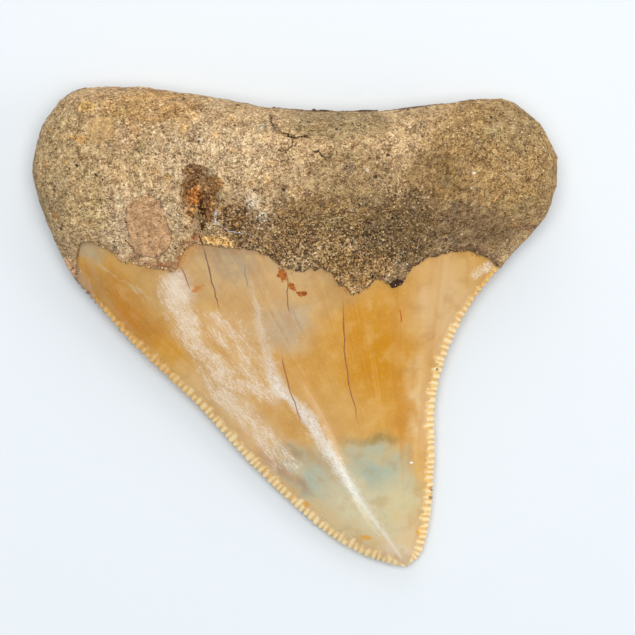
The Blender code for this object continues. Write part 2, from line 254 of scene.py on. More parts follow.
def rounding(inside):
    """Rises from 0 to 1 like a quarter of a circle."""
    return np.sqrt(1 - (1 - np.clip(inside, 0, 1)) ** 2)


def from_rim(x, y):
    """How far each point is inside the outline, worked out one row at a time."""
    run = np.roll(OUTLINE, -1, axis=0) - OUTLINE
    away = []
    for row in np.stack([x, y], axis=-1):
        gap = row[:, None] - OUTLINE
        share = np.clip((gap * run).sum(-1) / (run**2).sum(-1), 0, 1)
        away.append(np.linalg.norm(gap - share[..., None] * run, axis=-1).min(-1))
    return np.array(away)


def noise_at(points, size, seed=0):
    """Smooth noise from about -1 to 1 at each point, with features of this size in millimetres."""
    places = points.reshape(-1, 3) / size + (0, 0, seed)
    return np.array([noise.noise(p) for p in places.tolist()]).reshape(points.shape[:-1])


def noise_along(x, size, seed):
    return noise_at(np.stack([x, 0 * x, 0 * x], axis=-1), size, seed)


def cells_at(points, size, seed):
    """Distances to the nearest two of a cloud of scattered points about `size` apart, as shares of size."""
    places = points / size + (0, 0, seed)
    return np.array([noise.voronoi(p)[0][:2] for p in places.tolist()]).T


def down_crown(y):
    """0 where the crown's ridge starts, and 1 at the tip."""
    return np.clip((RIDGE_TOP[1] - y) / (RIDGE_TOP[1] - TIP[1]), 0, 1)


def up_root(y):
    """0 where the root begins to leave the crown's form, and 1 where it has a form of its own."""
    return ease((y - ROOT_START) / ROOT_RISE)


def rim_height(y):
    """Height of the rim: the root's girth, then the cutting edges down to the tip."""
    edge = CROWN_RIM_HEIGHT + (TIP_RIM_HEIGHT - CROWN_RIM_HEIGHT) * down_crown(y)
    return edge + (ROOT_RIM_HEIGHT - edge) * up_root(y)


def away_from(x, y, centre, radii):
    """Distance from the middle of an oval, as a share of its radii."""
    return np.hypot((x - centre[0]) / radii[0], (y - centre[1]) / radii[1])


def across_crown(x, y):
    """0 on the crown's ridge, and 1 at the cutting edge on either side of it."""
    ridge = RIDGE_TOP[0] + (TIP[0] - RIDGE_TOP[0]) * down_crown(y)
    left, right = (np.interp(y, side[::-1, 1], side[::-1, 0]) for side in (LEFT_SIDE, RIGHT_SIDE))
    to_left = (ridge - x) / np.maximum(ridge - left, 1e-6)
    to_right = (x - ridge) / np.maximum(right - ridge, 1e-6)
    return np.clip(np.where(x < ridge, to_left, to_right), 0, 1)


def crown_top(x, y):
    """Height of the crown's upper face, and its share of the way from the rim up to the ridge."""
    rim, down = rim_height(y), down_crown(y)
    ridge = CROWN_THICKNESS + (TIP_HEIGHT - CROWN_THICKNESS) * down**RIDGE_FALL
    lens = 1 - across_crown(x, y) ** (CROWN_ROUNDNESS + (TIP_ROUNDNESS - CROWN_ROUNDNESS) * down)
    return rim + (ridge - rim) * lens, lens


def root_top(x, y):
    """Height of the root's upper face. Near the enamel it's a crust that stands a little proud of it."""
    rim, own_form = rim_height(y), up_root(y)
    rounded = rounding(from_rim(x, y) / ROOT_ROUNDING)
    swelling = np.exp(-((x / (SWELLING_REACH * ROOT_WIDTH)) ** 2))
    swelling *= SWELLING_LOW + (1 - SWELLING_LOW) * own_form
    flat = np.stack([x, y, 0 * x], axis=-1)
    lumpy = LUMP_HEIGHT * (noise_at(flat, LUMP_SIZE) + 0.4 * noise_at(flat * (2.3, 2.3, 1), LUMP_SIZE))
    root = rim + (LOBE_THICKNESS + (ROOT_THICKNESS - LOBE_THICKNESS) * swelling - rim + lumpy) * rounded
    for hollow in (NUTRIENT_PIT, CHIPPED_PLATE, SCAR):
        away = away_from(x, y, hollow["centre"], hollow["radii"])
        root -= rounded * hollow["depth"] * (1 - ease((away - 0.55) / 0.6))
    enamel, lens = crown_top(x, y)
    crust = enamel + (ENAMEL_STEP + CRUST_LUMPS * lumpy) * np.sqrt(lens)
    return np.maximum(crust + (root - crust) * own_form, rim)


def under_side(x, y, on_enamel):
    """Height of the under face: nearly flat, and worn level where it touches down."""
    rim, own_form, down = rim_height(y), up_root(y), down_crown(y)
    hollow = UNDER_HOLLOW * np.exp(-((x / UNDER_HOLLOW_REACH) ** 2)) * own_form
    root = (rim + FLAT_SINK - hollow) * rounding(from_rim(x, y) / ROOT_ROUNDING)
    lens = 1 - across_crown(x, y) ** 2
    step = UNDER_STEP * ENAMEL_STEP * on_enamel * (1 - ease(down / UNDER_STEP_REACH))
    crown = (rim + FLAT_SINK - TIP_LIFT * down**2 - step) * lens
    return np.maximum(rim - crown - (root - crown) * own_form, 0)


# %% [markdown]
# ## Weaving a form from rows
# Both pieces are woven in the same way. Rows of points run from one side of the tooth to
# the other, over the upper face and over the under face, and share their end points on the
# rim. Quads between the rows make the skin, and a last few rows join the two faces inside
# the tooth, so that each piece is one closed body.

# %% Weaving a form from rows
def weave(name, upper, under, first_closed, to_a_point, inner_rows=0):
    """A closed mesh from two grids of points that share their first and last columns.

    A grid is rows x columns x 3. Where `first_closed` is true the faces also share the whole
    first row. They end in one point where `to_a_point` is true, and elsewhere a wall joins
    their last rows. The `inner_rows` last rows all end in the same two points as the row
    before them. The second result says which of both grids' points the mesh kept.
    """
    rows, columns = upper.shape[:2]
    numbers = np.arange(2 * rows * columns).reshape(2, rows, columns)
    numbers[1][:, [0, -1]] = numbers[0][:, [0, -1]]
    if first_closed:
        numbers[1][0] = numbers[0][0]
    if to_a_point:
        numbers[:, -1] = numbers[0, -1, 0]
    if inner_rows:
        numbers[:, -inner_rows:, [0, -1]] = numbers[0, -inner_rows - 1, [0, -1]]
    kept, places = np.unique(numbers, return_inverse=True)
    above, below = places.reshape(numbers.shape)
    points = np.concatenate([upper.reshape(-1, 3), under.reshape(-1, 3)])[kept]
    pairs = [*zip(above, above[1:]), *zip(below[1:], below)]
    if not first_closed:
        pairs.append((below[0], above[0]))
    if not to_a_point:
        pairs.append((above[-1], below[-1]))
    quads = np.vstack([np.stack([a[:-1], b[:-1], b[1:], a[1:]], axis=-1) for a, b in pairs])
    # Where two corners of a quad are one point, as at the ends of a wall, it becomes a triangle.
    faces = [[c for k, c in enumerate(quad) if c != quad[k - 1]] for quad in quads.tolist()]
    piece = made_piece(name, points, [face for face in faces if len(face) > 2])
    piece.data.shade_smooth()
    return piece, kept


def made_piece(name, points, faces):
    """A piece that rides on the tooth's body, in the place of its solid, which is hidden."""
    mesh = bpy.data.meshes.new(name)
    mesh.from_pydata(((points + SHIFT) * MM).tolist(), [], faces)
    mesh.validate()
    piece = in_scene(name, mesh)
    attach(piece, "root")
    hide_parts("tooth")
    print(name, len(points), "points", sum(len(face) - 2 for face in faces), "triangles")
    return piece


def both_faces(upper_values, under_values, kept):
    """Values for each point of a woven mesh, in the same order as its points."""
    return np.concatenate([upper_values.reshape(-1), under_values.reshape(-1)])[kept]


def mark(piece, **marks):
    """Stores numbers at each point, which the piece's material can read by name."""
    for name, values in marks.items():
        layer = piece.data.attributes.new(name, "FLOAT", "POINT")
        layer.data.foreach_set("value", np.asarray(values, np.float32))


# %% [markdown]
# ## The root
# The root is bone turned to stone, with sand cemented over it. Its rows start on the rim at
# the top, and stay evenly spaced as the surface turns over the rounded rim. The last rows
# step down below the enamel, so the crust ends in a real broken edge.

# %% The root's rows
ROOT_COLUMNS, ROOT_ROWS = 300, 150
ROOT_LENGTH = 26  # from the top of the root down to the enamel, along the middle
EDGE_DROPS_UPPER = [(-0.25, -0.08), (-0.6, -0.05), (-1, 0.1), (-1.6, 0.5)]  # down and back
EDGE_DROPS_UNDER = [(0.2, -0.05), (0.45, 0), (0.8, 0.2), (1.2, 0.5)]


def over_the_rim(count, length, both_ends):
    """Shares of a length, even along a surface that turns over a rounded rim at one end or both."""
    if both_ends:
        half = over_the_rim(count // 2, length / 2, False) / 2
        return np.concatenate([half, 1 - half[-2::-1]])
    arc = ROOT_ROUNDING * math.pi / 2
    s = np.linspace(0, length - ROOT_ROUNDING + arc, count + 1)
    turned = ROOT_ROUNDING * (1 - np.cos(np.minimum(s, arc) / ROOT_ROUNDING))
    return np.where(s < arc, turned, ROOT_ROUNDING + s - arc) / length


def bulge_of(line, u):
    """How far a line rises above the straight run between its ends, at shares u of that run."""
    flat = np.interp(u, [0, 1], [line[0, 1], line[-1, 1]])
    shares = (line[:, 0] - line[0, 0]) / (line[-1, 0] - line[0, 0])
    return np.interp(u, shares, line[:, 1]) - flat


def root_rows(gum_line, seed):
    """(x, y) over the grid on one face of the root. The broken edge strays from the gum line."""
    gum = smooth_line(gum_line)
    roots = over_the_rim(ROOT_ROWS, ROOT_LENGTH, False)
    rows = []
    for left, right, root in zip(at_shares(LEFT_LINE, roots), at_shares(RIGHT_LINE, roots), roots):
        width = np.linalg.norm(right - left)
        u = over_the_rim(ROOT_COLUMNS, width, True)
        line = left + (right - left) * u[:, None]
        x = line[:, 0]
        ragged = 0.55 * noise_along(x, 2.3, seed) + 0.4 * noise_along(x, 0.9, seed + 5)
        ragged += 0.35 * noise_along(x, 0.45, seed)
        rise = bulge_of(TOP_LINE, u) * (1 - root) ** 2 + bulge_of(gum, u) * root**2
        rise += ragged * ease((root - 0.6) / 0.4) * ease(np.minimum(u, 1 - u) * width / 1.5)
        rows.append((x, line[:, 1] + rise))
    return np.array(rows).transpose(1, 0, 2)


def step_down(grid, drops):
    """Adds rows at the crust's edge: each (down, back) goes that far below it and back into the tooth."""
    rows = [grid]
    for down, back in drops:
        row = grid[-1].copy()
        row[1:-1] += (0, back, down)
        rows.append(row[None])
    return np.concatenate(rows)


def build_root():
    grids = []
    for gum_line, seed, drops in (
        (GUM_LINE_UPPER, 1, EDGE_DROPS_UPPER),
        (GUM_LINE_UNDER, 40, EDGE_DROPS_UNDER),
    ):
        x, y = root_rows(gum_line, seed)
        z = under_side(x, y, 0) if grids else root_top(x, y)
        z[:, [0, -1]] = rim_height(y)[:, [0, -1]]
        z[0] = ROOT_RIM_HEIGHT
        grids.append(step_down(np.stack([x, y, z], axis=-1), drops))
    return *weave("root", *grids, True, False, inner_rows=len(drops)), grids


root_piece, root_kept, root_grids = build_root()

# %% [markdown]
# ## The root's relief
# Real bone and cemented sand are rough at every size: soft swellings, pebbly grains, small
# pits, and a few old cracks. Each point of the mesh is pushed along its own normal, so the
# relief casts real shadows and shows on the silhouette. The scar and the round patch stay
# smooth, and the band above the enamel is the coarsest.

# %% The root's relief
COARSE_BAND = [((5, 12), (17, 5.5)), ((16.5, 16), (5.5, 7.5)), ((-8, 15.5), (4.5, 4))]
ROUND_PATCH = (-29.4, 29.7)
SMOOTH_SPOTS = [(SCAR["centre"], (4, 5)), (ROUND_PATCH, (3.2, 3.2))]
PIT_REACH = (3.6, 5.4)
ROOT_CRACKS = [  # points, and whether the line runs sideways
    ([(-3.7, 32.3), (-3.6, 31.2), (-3.2, 30.2), (-2.5, 29.4)], False),
    ([(-2.8, 29.8), (-1.3, 28.9), (0.2, 28.4), (1.2, 28.6), (2.4, 28.3)], True),
    ([(-0.2, 28.6), (-0.3, 27.4), (-0.9, 26.6), (-2.2, 25.6)], False),
    ([(2.4, 26.3), (3.3, 26.2), (4.1, 25.6), (5, 24.8)], True),
    ([(-14.5, 14.1), (-14, 12.8), (-13.5, 11.2)], False),
]
PIT_SLIT = [(-14, 19.6), (-13.6, 17.4), (-14.6, 15.6), (-14.9, 13.6)]


def patches_at(x, y, spots):
    """1 in the middle of each oval, fading to 0 at its rim."""
    return np.max([1 - ease((away_from(x, y, *spot) - 0.5) / 0.5) for spot in spots], axis=0)


def groove_along(path, x, y, wander, half_width):
    """1 on a line through the path's points as seen from above, and falling off beside it."""
    away = np.full(len(x), 99.0)
    for (ax, ay), (bx, by) in zip(path, path[1:]):
        run = (bx - ax, by - ay)
        share = np.clip(((x - ax) * run[0] + (y - ay) * run[1]) / (run[0] ** 2 + run[1] ** 2), 0, 1)
        away = np.minimum(away, np.hypot(x - ax - share * run[0], y - ay - share * run[1]))
    return np.exp(-(((away + wander) / half_width) ** 2))


def relief_of_root(points, upper):
    """How far each point of the root moves out along its normal, in millimetres."""
    x, y = points[:, 0], points[:, 1]
    coarse, smooth = (patches_at(x, y, spots) * upper for spots in (COARSE_BAND, SMOOTH_SPOTS))
    pit = patches_at(x, y, [(NUTRIENT_PIT["centre"], PIT_REACH)]) * upper
    nearest, second = cells_at(points, 0.95, 13)
    pebbles = np.minimum(second - nearest, 0.35) - 0.2
    small, _ = cells_at(points, 0.55, 31)
    holes, _ = cells_at(points, 2.4, 21)
    swells = 0.24 * noise_at(points, 2.8, 11) - 0.4 * np.abs(noise_at(points * (1, 1, 0.3), 4.5, 14)) + 0.04
    rough = 0.3 * pebbles * (0.5 + coarse) + 0.09 * (0.45 - small) + 0.08 * noise_at(points, 0.8, 12)
    relief = swells * (1 - 0.5 * smooth) + rough * (1 + 0.9 * coarse + 1.6 * pit) * (1 - 0.8 * smooth)
    relief -= 0.3 * (1 - ease(holes / 0.2)) * (1 - smooth)
    wander = 0.25 * noise_at(points, 1.2, 50)
    for path, _ in ROOT_CRACKS:
        relief -= 0.35 * groove_along(path, x, y, 0.5 * wander, 0.2) * upper
    return relief - 1.1 * groove_along(PIT_SLIT, x, y, wander, 0.55) * upper


def read(values, kind, count):
    """Three numbers for each of `count` items of a mesh, as an array."""
    found = np.empty(count * 3, np.float32)
    values.foreach_get(kind, found)
    return found.reshape(-1, 3)


def points_and_normals(piece):
    """A piece's points in the millimetres of the outline, and its normals."""
    mesh = piece.data
    count = len(mesh.vertices)
    return read(mesh.vertices, "co", count) / MM - SHIFT, read(mesh.vertex_normals, "vector", count)


def rough_up_root():
    shape = root_grids[0].shape[:2]
    upper, skin = np.ones(shape), np.ones(shape)
    upper[:, [0, -1]] = upper[0] = 0.5
    facing_up = both_faces(upper, 0 * upper, root_kept) * 2 - 1
    skin[-3:] = 0  # the rows hidden behind the enamel stay as they are
    skin[-4] = 0.5
    skin[:, [0, -1]] = np.minimum(skin[:, [0, -1]], 0.6)
    points, normals = points_and_normals(root_piece)
    relief = relief_of_root(points, np.clip(facing_up, 0, 1)) * both_faces(skin, skin, root_kept)
    print("root relief, mm:", relief.min().round(2), "to", relief.max().round(2))
    moved = (points + SHIFT + normals * relief[:, None]) * MM
    root_piece.data.vertices.foreach_set("co", np.clip(moved, *cad_box).reshape(-1))
    root_piece.data.update()
    above = both_faces(*(grid[..., 1] - grid[-1, :, 1] for grid in root_grids), root_kept)
    mark(root_piece, faces_up=facing_up, above_enamel=above)


rough_up_root()

# %% [markdown]
# ## The crown
# Enamel is smooth, so its relief is little more than the lens-shaped form. What matters is
# the cutting edge: about eleven tiny teeth to the centimetre, each a rounded bead with a
# narrow groove on either side. Each bead has six rows of points, and the columns crowd
# into the strip that carries the beads.

# %% The crown's rows
LEFT_SERRATIONS, RIGHT_SERRATIONS = 72, 54
SERRATION_DEPTH, BEAD_LENGTH, GROOVE_DEPTH = 0.45, 1.4, 0.15
CROWN_ROWS, STRIP_COLUMNS, MIDDLE_COLUMNS = 460, 10, 80
STRIP_WIDTH, MOST_STRIP = 1.9, 0.3  # in millimetres, and as a share of a row
GUM_BENDS_REACH, GUM_BENDS_SIDE = (0.06, 0.35), 8
HIDDEN_ROWS = [(3, 1.6), (1.5, 0.8)]  # how far up into the root, and in from its rim
HIDDEN_SINK = 0.5
FAR = 9.0  # stands for any distance too large to matter


def inward(points, into):
    """Unit directions square to a line of points, to its left (into = 1) or its right (into = -1)."""
    along = np.gradient(points, axis=0)
    across = np.stack([-along[:, 1], along[:, 0]], axis=1) * into
    return across / np.linalg.norm(across, axis=1)[:, None]


def beads(shares, count, seed, first):
    """Along a cutting edge: 0 on each tiny tooth's crest and 1 in the grooves, and the teeth's length.

    The teeth begin at the share `first`, and are smaller near the root.
    """
    def vary(size, more=0):
        return noise_along(shares * count, size, seed + more)

    turn = 2 * math.pi * (shares * count + 0.4 * vary(2.6) + 0.2 * vary(0.8))
    worn = np.clip((1 - shares) * 22, 0.15, 1) * ease((shares - first) / 0.06)
    length = BEAD_LENGTH * (0.5 + 0.5 * ease(shares / 0.3)) * (1 + 0.6 * vary(1.1, 4))
    return (0.5 - 0.5 * np.cos(turn)) ** 2 * (0.8 + 0.6 * vary(1.3, 9)) * worn, length


def crown_rows(gum_line):
    """x, y, groove, distance in from the cutting edge, and bead length, over one face of the crown."""
    gum = smooth_line(gum_line)
    shares = np.linspace(0, 1, CROWN_ROWS + 1)[:-1]
    lefts, rights = at_shares(LEFT_EDGE, shares), at_shares(RIGHT_EDGE, shares)
    left_beads = beads(shares, LEFT_SERRATIONS, 3, 0)
    right_beads = beads(shares, RIGHT_SERRATIONS, 8, -0.02)
    sides = (lefts, inward(lefts, 1), *left_beads), (rights, inward(rights, -1), *right_beads)
    columns = np.linspace(0, 1, STRIP_COLUMNS + 1) ** 1.15
    rows = []
    for i, share in enumerate(shares):
        left, right = lefts[i], rights[i]
        width = np.linalg.norm(right - left)
        strip = min(STRIP_WIDTH, MOST_STRIP * width) * columns
        strips, values = [], []
        for edge, into, groove, length in sides:
            inside = np.maximum(strip, groove[i] * SERRATION_DEPTH + strip * 0.6)
            strips.append(edge[i] + into[i] * inside[:, None])
            values.append((inside, groove[i], length[i]))
        middle = np.linspace(strips[0][-1], strips[1][-1], MIDDLE_COLUMNS + 1)[1:-1]
        x, y = np.vstack([strips[0], middle, strips[1][::-1]]).T
        u = np.clip((x - left[0]) / max(right[0] - left[0], 1e-6), 0, 1)
        # The gum line's bends die out down the crown, and do so sooner beside a cutting edge.
        reach = np.interp(ease(np.minimum(u, 1 - u) * width / GUM_BENDS_SIDE), (0, 1), GUM_BENDS_REACH)
        (in_left, left_groove, left_length), (in_right, right_groove, right_length) = values
        far = np.full(len(x) - len(in_left), FAR)
        from_left, from_right = np.concatenate([in_left, far]), np.concatenate([far, in_right[::-1]])
        near_left = from_left < from_right
        grooves = np.where(near_left, left_groove, right_groove)
        lengths = np.where(near_left, left_length, right_length)
        y = y + bulge_of(gum, u) * (1 - ease(share / reach))
        rows.append((x, y, grooves, np.minimum(from_left, from_right), lengths))
    return np.array(rows).transpose(1, 0, 2)


def build_crown():
    grids, marks = [], []
    for gum_line, facing in ((GUM_LINE_UPPER, 1), (GUM_LINE_UNDER, -1)):
        x, y, groove, to_edge, length = crown_rows(gum_line)
        rim = rim_height(y)
        z = crown_top(x, y)[0] if facing > 0 else under_side(x, y, 1)
        # Both faces round over to the rim at the very tip.
        z = rim + (z - rim) * rounding(np.hypot(x - TIP[0], y - TIP[1]) / TIP_ROUNDING)
        z -= facing * GROOVE_DEPTH * groove * (1 - ease(to_edge / length)) * ease(to_edge / 0.25)
        z[:, [0, -1]] = rim[:, [0, -1]]
        grid = np.stack([x, y, z], axis=-1)
        hidden = []
        for up, within in HIDDEN_ROWS:
            row = grid[0].copy()
            middle = row[:, 0].mean()
            row[:, 0] = middle + (row[:, 0] - middle) * (1 - within / (row[-1, 0] - middle))
            row += (0, up, -facing * HIDDEN_SINK)
            hidden.append(row)
        if grids:
            for row, above in zip(hidden, grids[0]):
                row[[0, -1]] = above[[0, -1]]
        grids.append(np.concatenate([hidden, grid, np.broadcast_to((*TIP, TIP_RIM_HEIGHT), (1, *row.shape))]))
        # The hidden rows at the top and the one point of the tip have values of their own.
        ends = [(len(HIDDEN_ROWS), 1), (0, 0)]
        values = (groove, 0), (to_edge, FAR), (to_edge / length, FAR), (grid[0, :, 1] - y, -1)
        marks.append([np.pad(v, ends, constant_values=((top, 0), (0, 0))) for v, top in values])
    piece, kept = weave("crown", *grids, first_closed=False, to_a_point=True)
    faces_up = np.ones(grids[0].shape[:2])
    faces_up[:, [0, -1]] = 0
    mark(piece, faces_up=both_faces(faces_up, -faces_up, kept))
    for name, upper, under in zip(("groove", "to_edge", "along_bead", "below_crust"), *marks):
        mark(piece, **{name: both_faces(upper, under, kept)})
    return piece


crown_piece = build_crown()

# %% [markdown]
# ## Loose sand
# Some grains stand free of the crust, mostly in the coarse band over the enamel. Each is a
# small ball of twenty faces, squeezed and dented at random so that no two are alike, and
# sunk for a third of its size into the surface.

# %% Loose sand
GRAINS_IN_BAND, GRAINS_ELSEWHERE, GRAINS_ON_EDGE = 2600, 900, 500
GRAIN_SIZES = (0.1, 0.24)
PALE_GRAINS = [((-25.8, 28), 0.35), ((17.3, 30.1), 0.4), ((10.8, 23.5), 0.42), ((26.8, 23.2), 0.4)]


def icosahedron():
    """The corners and faces of a regular ball of twenty triangles, of radius 1."""
    g = (1 + 5**0.5) / 2
    corners = np.array([np.roll((a, b, 0), k) for k in range(3) for b in (g, -g) for a in (-1, 1)])
    faces = []
    for trio in itertools.combinations(range(12), 3):
        sides = corners[list(trio)] - np.roll(corners[list(trio)], 1, axis=0)
        if np.allclose((sides**2).sum(1), 4):
            faces.append(trio if np.linalg.det(corners[list(trio)]) > 0 else trio[::-1])
    return corners / math.hypot(1, g), np.array(faces)


def sprinkle():
    """One joined mesh of all the grains, with a shade from 0 to 1 for each."""
    draw = np.random.default_rng(7)
    points, normals = points_and_normals(root_piece)
    x, y, height = points.T
    steep = normals[:, 2]
    up = steep > 0.2
    band, smooth = (patches_at(x, y, spots) * up for spots in (COARSE_BAND, SMOOTH_SPOTS))
    inside = from_rim(x[None], y[None])[0] > 0.8
    open_skin = (np.abs(steep) > 0.25) & inside & (height > 0.25) & (smooth < 0.3)
    along_edge = np.zeros(root_grids[0].shape[:2])
    along_edge[-6:-4, 8:-8] = 1
    along_edge = both_faces(along_edge, along_edge * 0.4, root_kept)
    chosen, sizes = [], []
    for count, chance, scale in (
        (GRAINS_IN_BAND, band * open_skin, 1),
        (GRAINS_ELSEWHERE, open_skin * 1, 0.8),
        (GRAINS_ON_EDGE, along_edge, 0.9),
    ):
        chosen.append(draw.choice(len(points), count, p=chance / chance.sum()))
        sizes.append(draw.uniform(*GRAIN_SIZES, count) * scale)
    shades = draw.uniform(0, 0.95, sum(map(len, sizes)))
    for (near_x, near_y), size in PALE_GRAINS:
        chosen.append([np.argmin(np.hypot(x - near_x, y - near_y) + FAR * ~up)])
        sizes.append([size])
        shades = np.append(shades, 1)
    chosen, sizes = np.concatenate(chosen), np.concatenate(sizes)
    # In the band the grains are of every tone. Elsewhere most are as pale as the crust.
    in_band = np.interp(x[chosen], (-14, -4), (0, 1)) > draw.uniform(size=len(chosen))
    shades = np.where(in_band | (shades < 0.12), shades, 0.55 + 0.45 * shades)
    ball, ball_faces = icosahedron()
    count = len(chosen)
    corners = ball * draw.uniform(0.75, 1.2, (count, 12, 1)) * draw.uniform(0.65, 1.15, (count, 1, 3))
    turns, _ = np.linalg.qr(draw.normal(size=(count, 3, 3)))
    corners = np.einsum("nij,nkj->nki", turns, corners) * sizes[:, None, None]
    corners += (points[chosen] - 0.3 * sizes[:, None] * normals[chosen])[:, None]
    corners[..., 2] = np.clip(corners[..., 2], 0, (tooth_high - tooth_low)[2])
    faces = ball_faces + 12 * np.arange(count)[:, None, None]
    mirrored = np.linalg.det(turns) < 0
    faces[mirrored] = faces[mirrored][:, :, ::-1]
    piece = made_piece("sand", corners.reshape(-1, 3), faces.reshape(-1, 3).tolist())
    mark(piece, shade=np.repeat(shades, 12))
    return piece


sand_piece = sprinkle()

# %% [markdown]
# ## Writing materials as formulas
# Each finish is a formula of the place on the tooth. A small class turns sums and products
# into material nodes, so a finish can be written down as it would be mixed: a ground
# colour, soft-edged zones over it, then grain, cracks and stains.

# %% Writing materials as formulas
def operation(name, swapped=False):
    return lambda self, other=0: self.paint.math(name, *((other, self) if swapped else (self, other)))


class Value:
    """A number, a place or a colour that varies over the surface. `|` gives the larger of two."""

    def __init__(self, paint, socket):
        self.paint, self.socket = paint, socket

    __add__ = __radd__ = operation("ADD")
    __sub__, __rsub__ = operation("SUBTRACT"), operation("SUBTRACT", True)
    __mul__ = __rmul__ = operation("MULTIPLY")
    __or__ = __ror__ = operation("MAXIMUM")
    __abs__ = operation("ABSOLUTE")


class Paint:
    """A material under construction. `place` is each point's place in the millimetres of the outline."""

    def __init__(self, name, ground):
        self.material = bpy.data.materials.new(name)
        self.material.use_nodes = True
        self.tree = self.material.node_tree
        self.shader = self.tree.nodes["Principled BSDF"]
        self.colour = ground
        on_object = self.node("TexCoord")["Object"]
        to_mm = {0: on_object, 1: (1 / MM,) * 3, 2: tuple(-SHIFT)}
        self.place = self.node("VectorMath", to_mm, operation="MULTIPLY_ADD")[0]

    def set(self, socket, value):
        if isinstance(value, Value):
            self.tree.links.new(value.socket, socket)
        elif socket.type == "RGBA":
            socket.default_value = (*srgb(*value), 1)
        else:
            socket.default_value = value

    def node(self, kind, inputs={}, **settings):
        """Adds a node, and returns its outputs by name or number."""
        node = self.tree.nodes.new("ShaderNode" + kind)
        for name, value in settings.items():
            setattr(node, name, value)
        for name, value in inputs.items():
            self.set(node.inputs[name], value)
        outputs = {i: Value(self, o) for i, o in enumerate(node.outputs)}
        return outputs | {o.name: Value(self, o) for o in node.outputs if o.enabled}

    def math(self, operation, a, b=0):
        return self.node("Math", {0: a, 1: b}, operation=operation)[0]

    def apart(self, place):
        """A place's three numbers: across the tooth, up it, and its height."""
        return self.node("SeparateXYZ", {0: place})

    def between(self, value, low, high, to_low=0, to_high=1):
        """A smooth step as the value goes from low to high, which may also be from high to low."""
        ends = {"Value": value, "From Min": low, "From Max": high, "To Min": to_low, "To Max": to_high}
        return self.node("MapRange", ends, interpolation_type="SMOOTHSTEP")[0]

    def framed(self, place, middle, scale, turn=0):
        """The place as seen from a frame with this middle, scale and turn."""
        inputs = {"Vector": place or self.place, "Location": middle, "Rotation": (0, 0, turn)}
        return self.node("Mapping", inputs | {"Scale": scale}, vector_type="TEXTURE")[0]

    def noise(self, size, seed, detail=2, place=None, stretch=1, turn=0):
        """Smooth noise around 0, mostly within 0.35, with features of this size in millimetres."""
        at = self.framed(place, (seed, 2 * seed, seed), (size, size * stretch, size), turn)
        return self.node("TexNoise", {"Vector": at, "Scale": 1, "Detail": detail})[0] - 0.5

    def cells(self, size, seed, place=None):
        """Scattered cells: how far their middles are, as a share of `size`, and two random numbers."""
        found = self.node("TexVoronoi", {"Vector": self.framed(place, (seed,) * 3, (size,) * 3), "Scale": 1})
        drawn = self.node("SeparateColor", {0: found["Color"]})
        return found["Distance"], drawn[0], drawn[1]

    def mix(self, share, a, b, blend="MIX"):
        return self.node("Mix", {0: share, 6: a, 7: b}, data_type="RGBA", blend_type=blend)[2]

    def over(self, share, tint, blend="MIX"):
        """Lays a tint over the colour so far."""
        self.colour = self.mix(share, self.colour, tint, blend)

    def oval(self, centre, radii, turn=0, soft=1, place=None):
        """1 inside an oval, fading to 0 over the outer `soft` share of it. Its turn is in degrees."""
        at = self.framed(place, (*centre, 0), (*radii, 1e5), math.radians(turn))
        return self.between(self.node("VectorMath", {0: at}, operation="LENGTH")["Value"], 1, 1 - soft)

    def shaken(self, size, reach):
        """The place, moved by up to `reach` millimetres, so that what is drawn on it has uneven borders."""
        around = self.node("TexNoise", {"Vector": self.place, "Scale": 1 / size, "Detail": 3})["Color"]
        moved = {0: around, 1: (2 * reach,) * 3, 2: (-reach,) * 3}
        by = self.node("VectorMath", moved, operation="MULTIPLY_ADD")[0]
        return self.node("VectorMath", {0: by, 1: self.place}, operation="ADD")[0]

    def zones(self, zones, place, share=1, grain=None):
        """Lays zones over the colour. A grain, which is noise around 0, breaks their borders into patches."""
        for centre, radii, turn, tint, strength in zones:
            cover = self.oval(centre, radii, turn, 0.9, place)
            if grain:
                cover = self.between(cover + grain, 0.15, 0.75)
            self.over(cover * strength * share, tint)

    def aside(self, path, place=None, sideways=False):
        """For a line of points that run down the tooth: how far x is to its right, and the share along it.

        A line that runs sideways goes from left to right, and the first result is how far y is above it.
        """
        here = self.apart(place or self.place)
        run, off = (0, 1) if sideways else (1, 0)
        top, end = path[0][run], path[-1][run]
        low = min(point[off] for point in path)
        width = max(point[off] for point in path) - low or 1
        down = (top - here[run]) * (1 / (top - end))
        node = self.tree.nodes.new("ShaderNodeFloatCurve")
        points = node.mapping.curves[0].points
        for k, point in enumerate(path):
            at = ((top - point[run]) / (top - end), (point[off] - low) / width)
            if k < 2:
                points[k].location = at
            else:
                points.new(*at)
        node.mapping.update()
        self.set(node.inputs["Value"], down)
        return here[off] - (Value(self, node.outputs[0]) * width + low), down

    def line(self, path, half_width, place=None, soft_ends=0.12, sideways=False):
        """1 along a line that runs down the tooth, or sideways, thinning out at its ends."""
        away, down = self.aside(path, place, sideways)
        ends = self.between(down, 0, soft_ends) * self.between(down, 1, 1 - soft_ends)
        return self.between(abs(away), half_width, 0.25 * half_width) * ends

    def mark(self, name):
        return self.node("Attribute", attribute_name=name)["Fac"]

    def ramp(self, value, tones):
        """Colours at shares of a value from 0 to 1, blended between."""
        node = self.tree.nodes.new("ShaderNodeValToRGB")
        stops = node.color_ramp.elements
        for k, (share, colour) in enumerate(tones):
            stop = stops[k] if k < 2 else stops.new(share)
            stop.position, stop.color = share, (*srgb(*colour), 1)
        self.set(node.inputs[0], value)
        return Value(self, node.outputs[0])

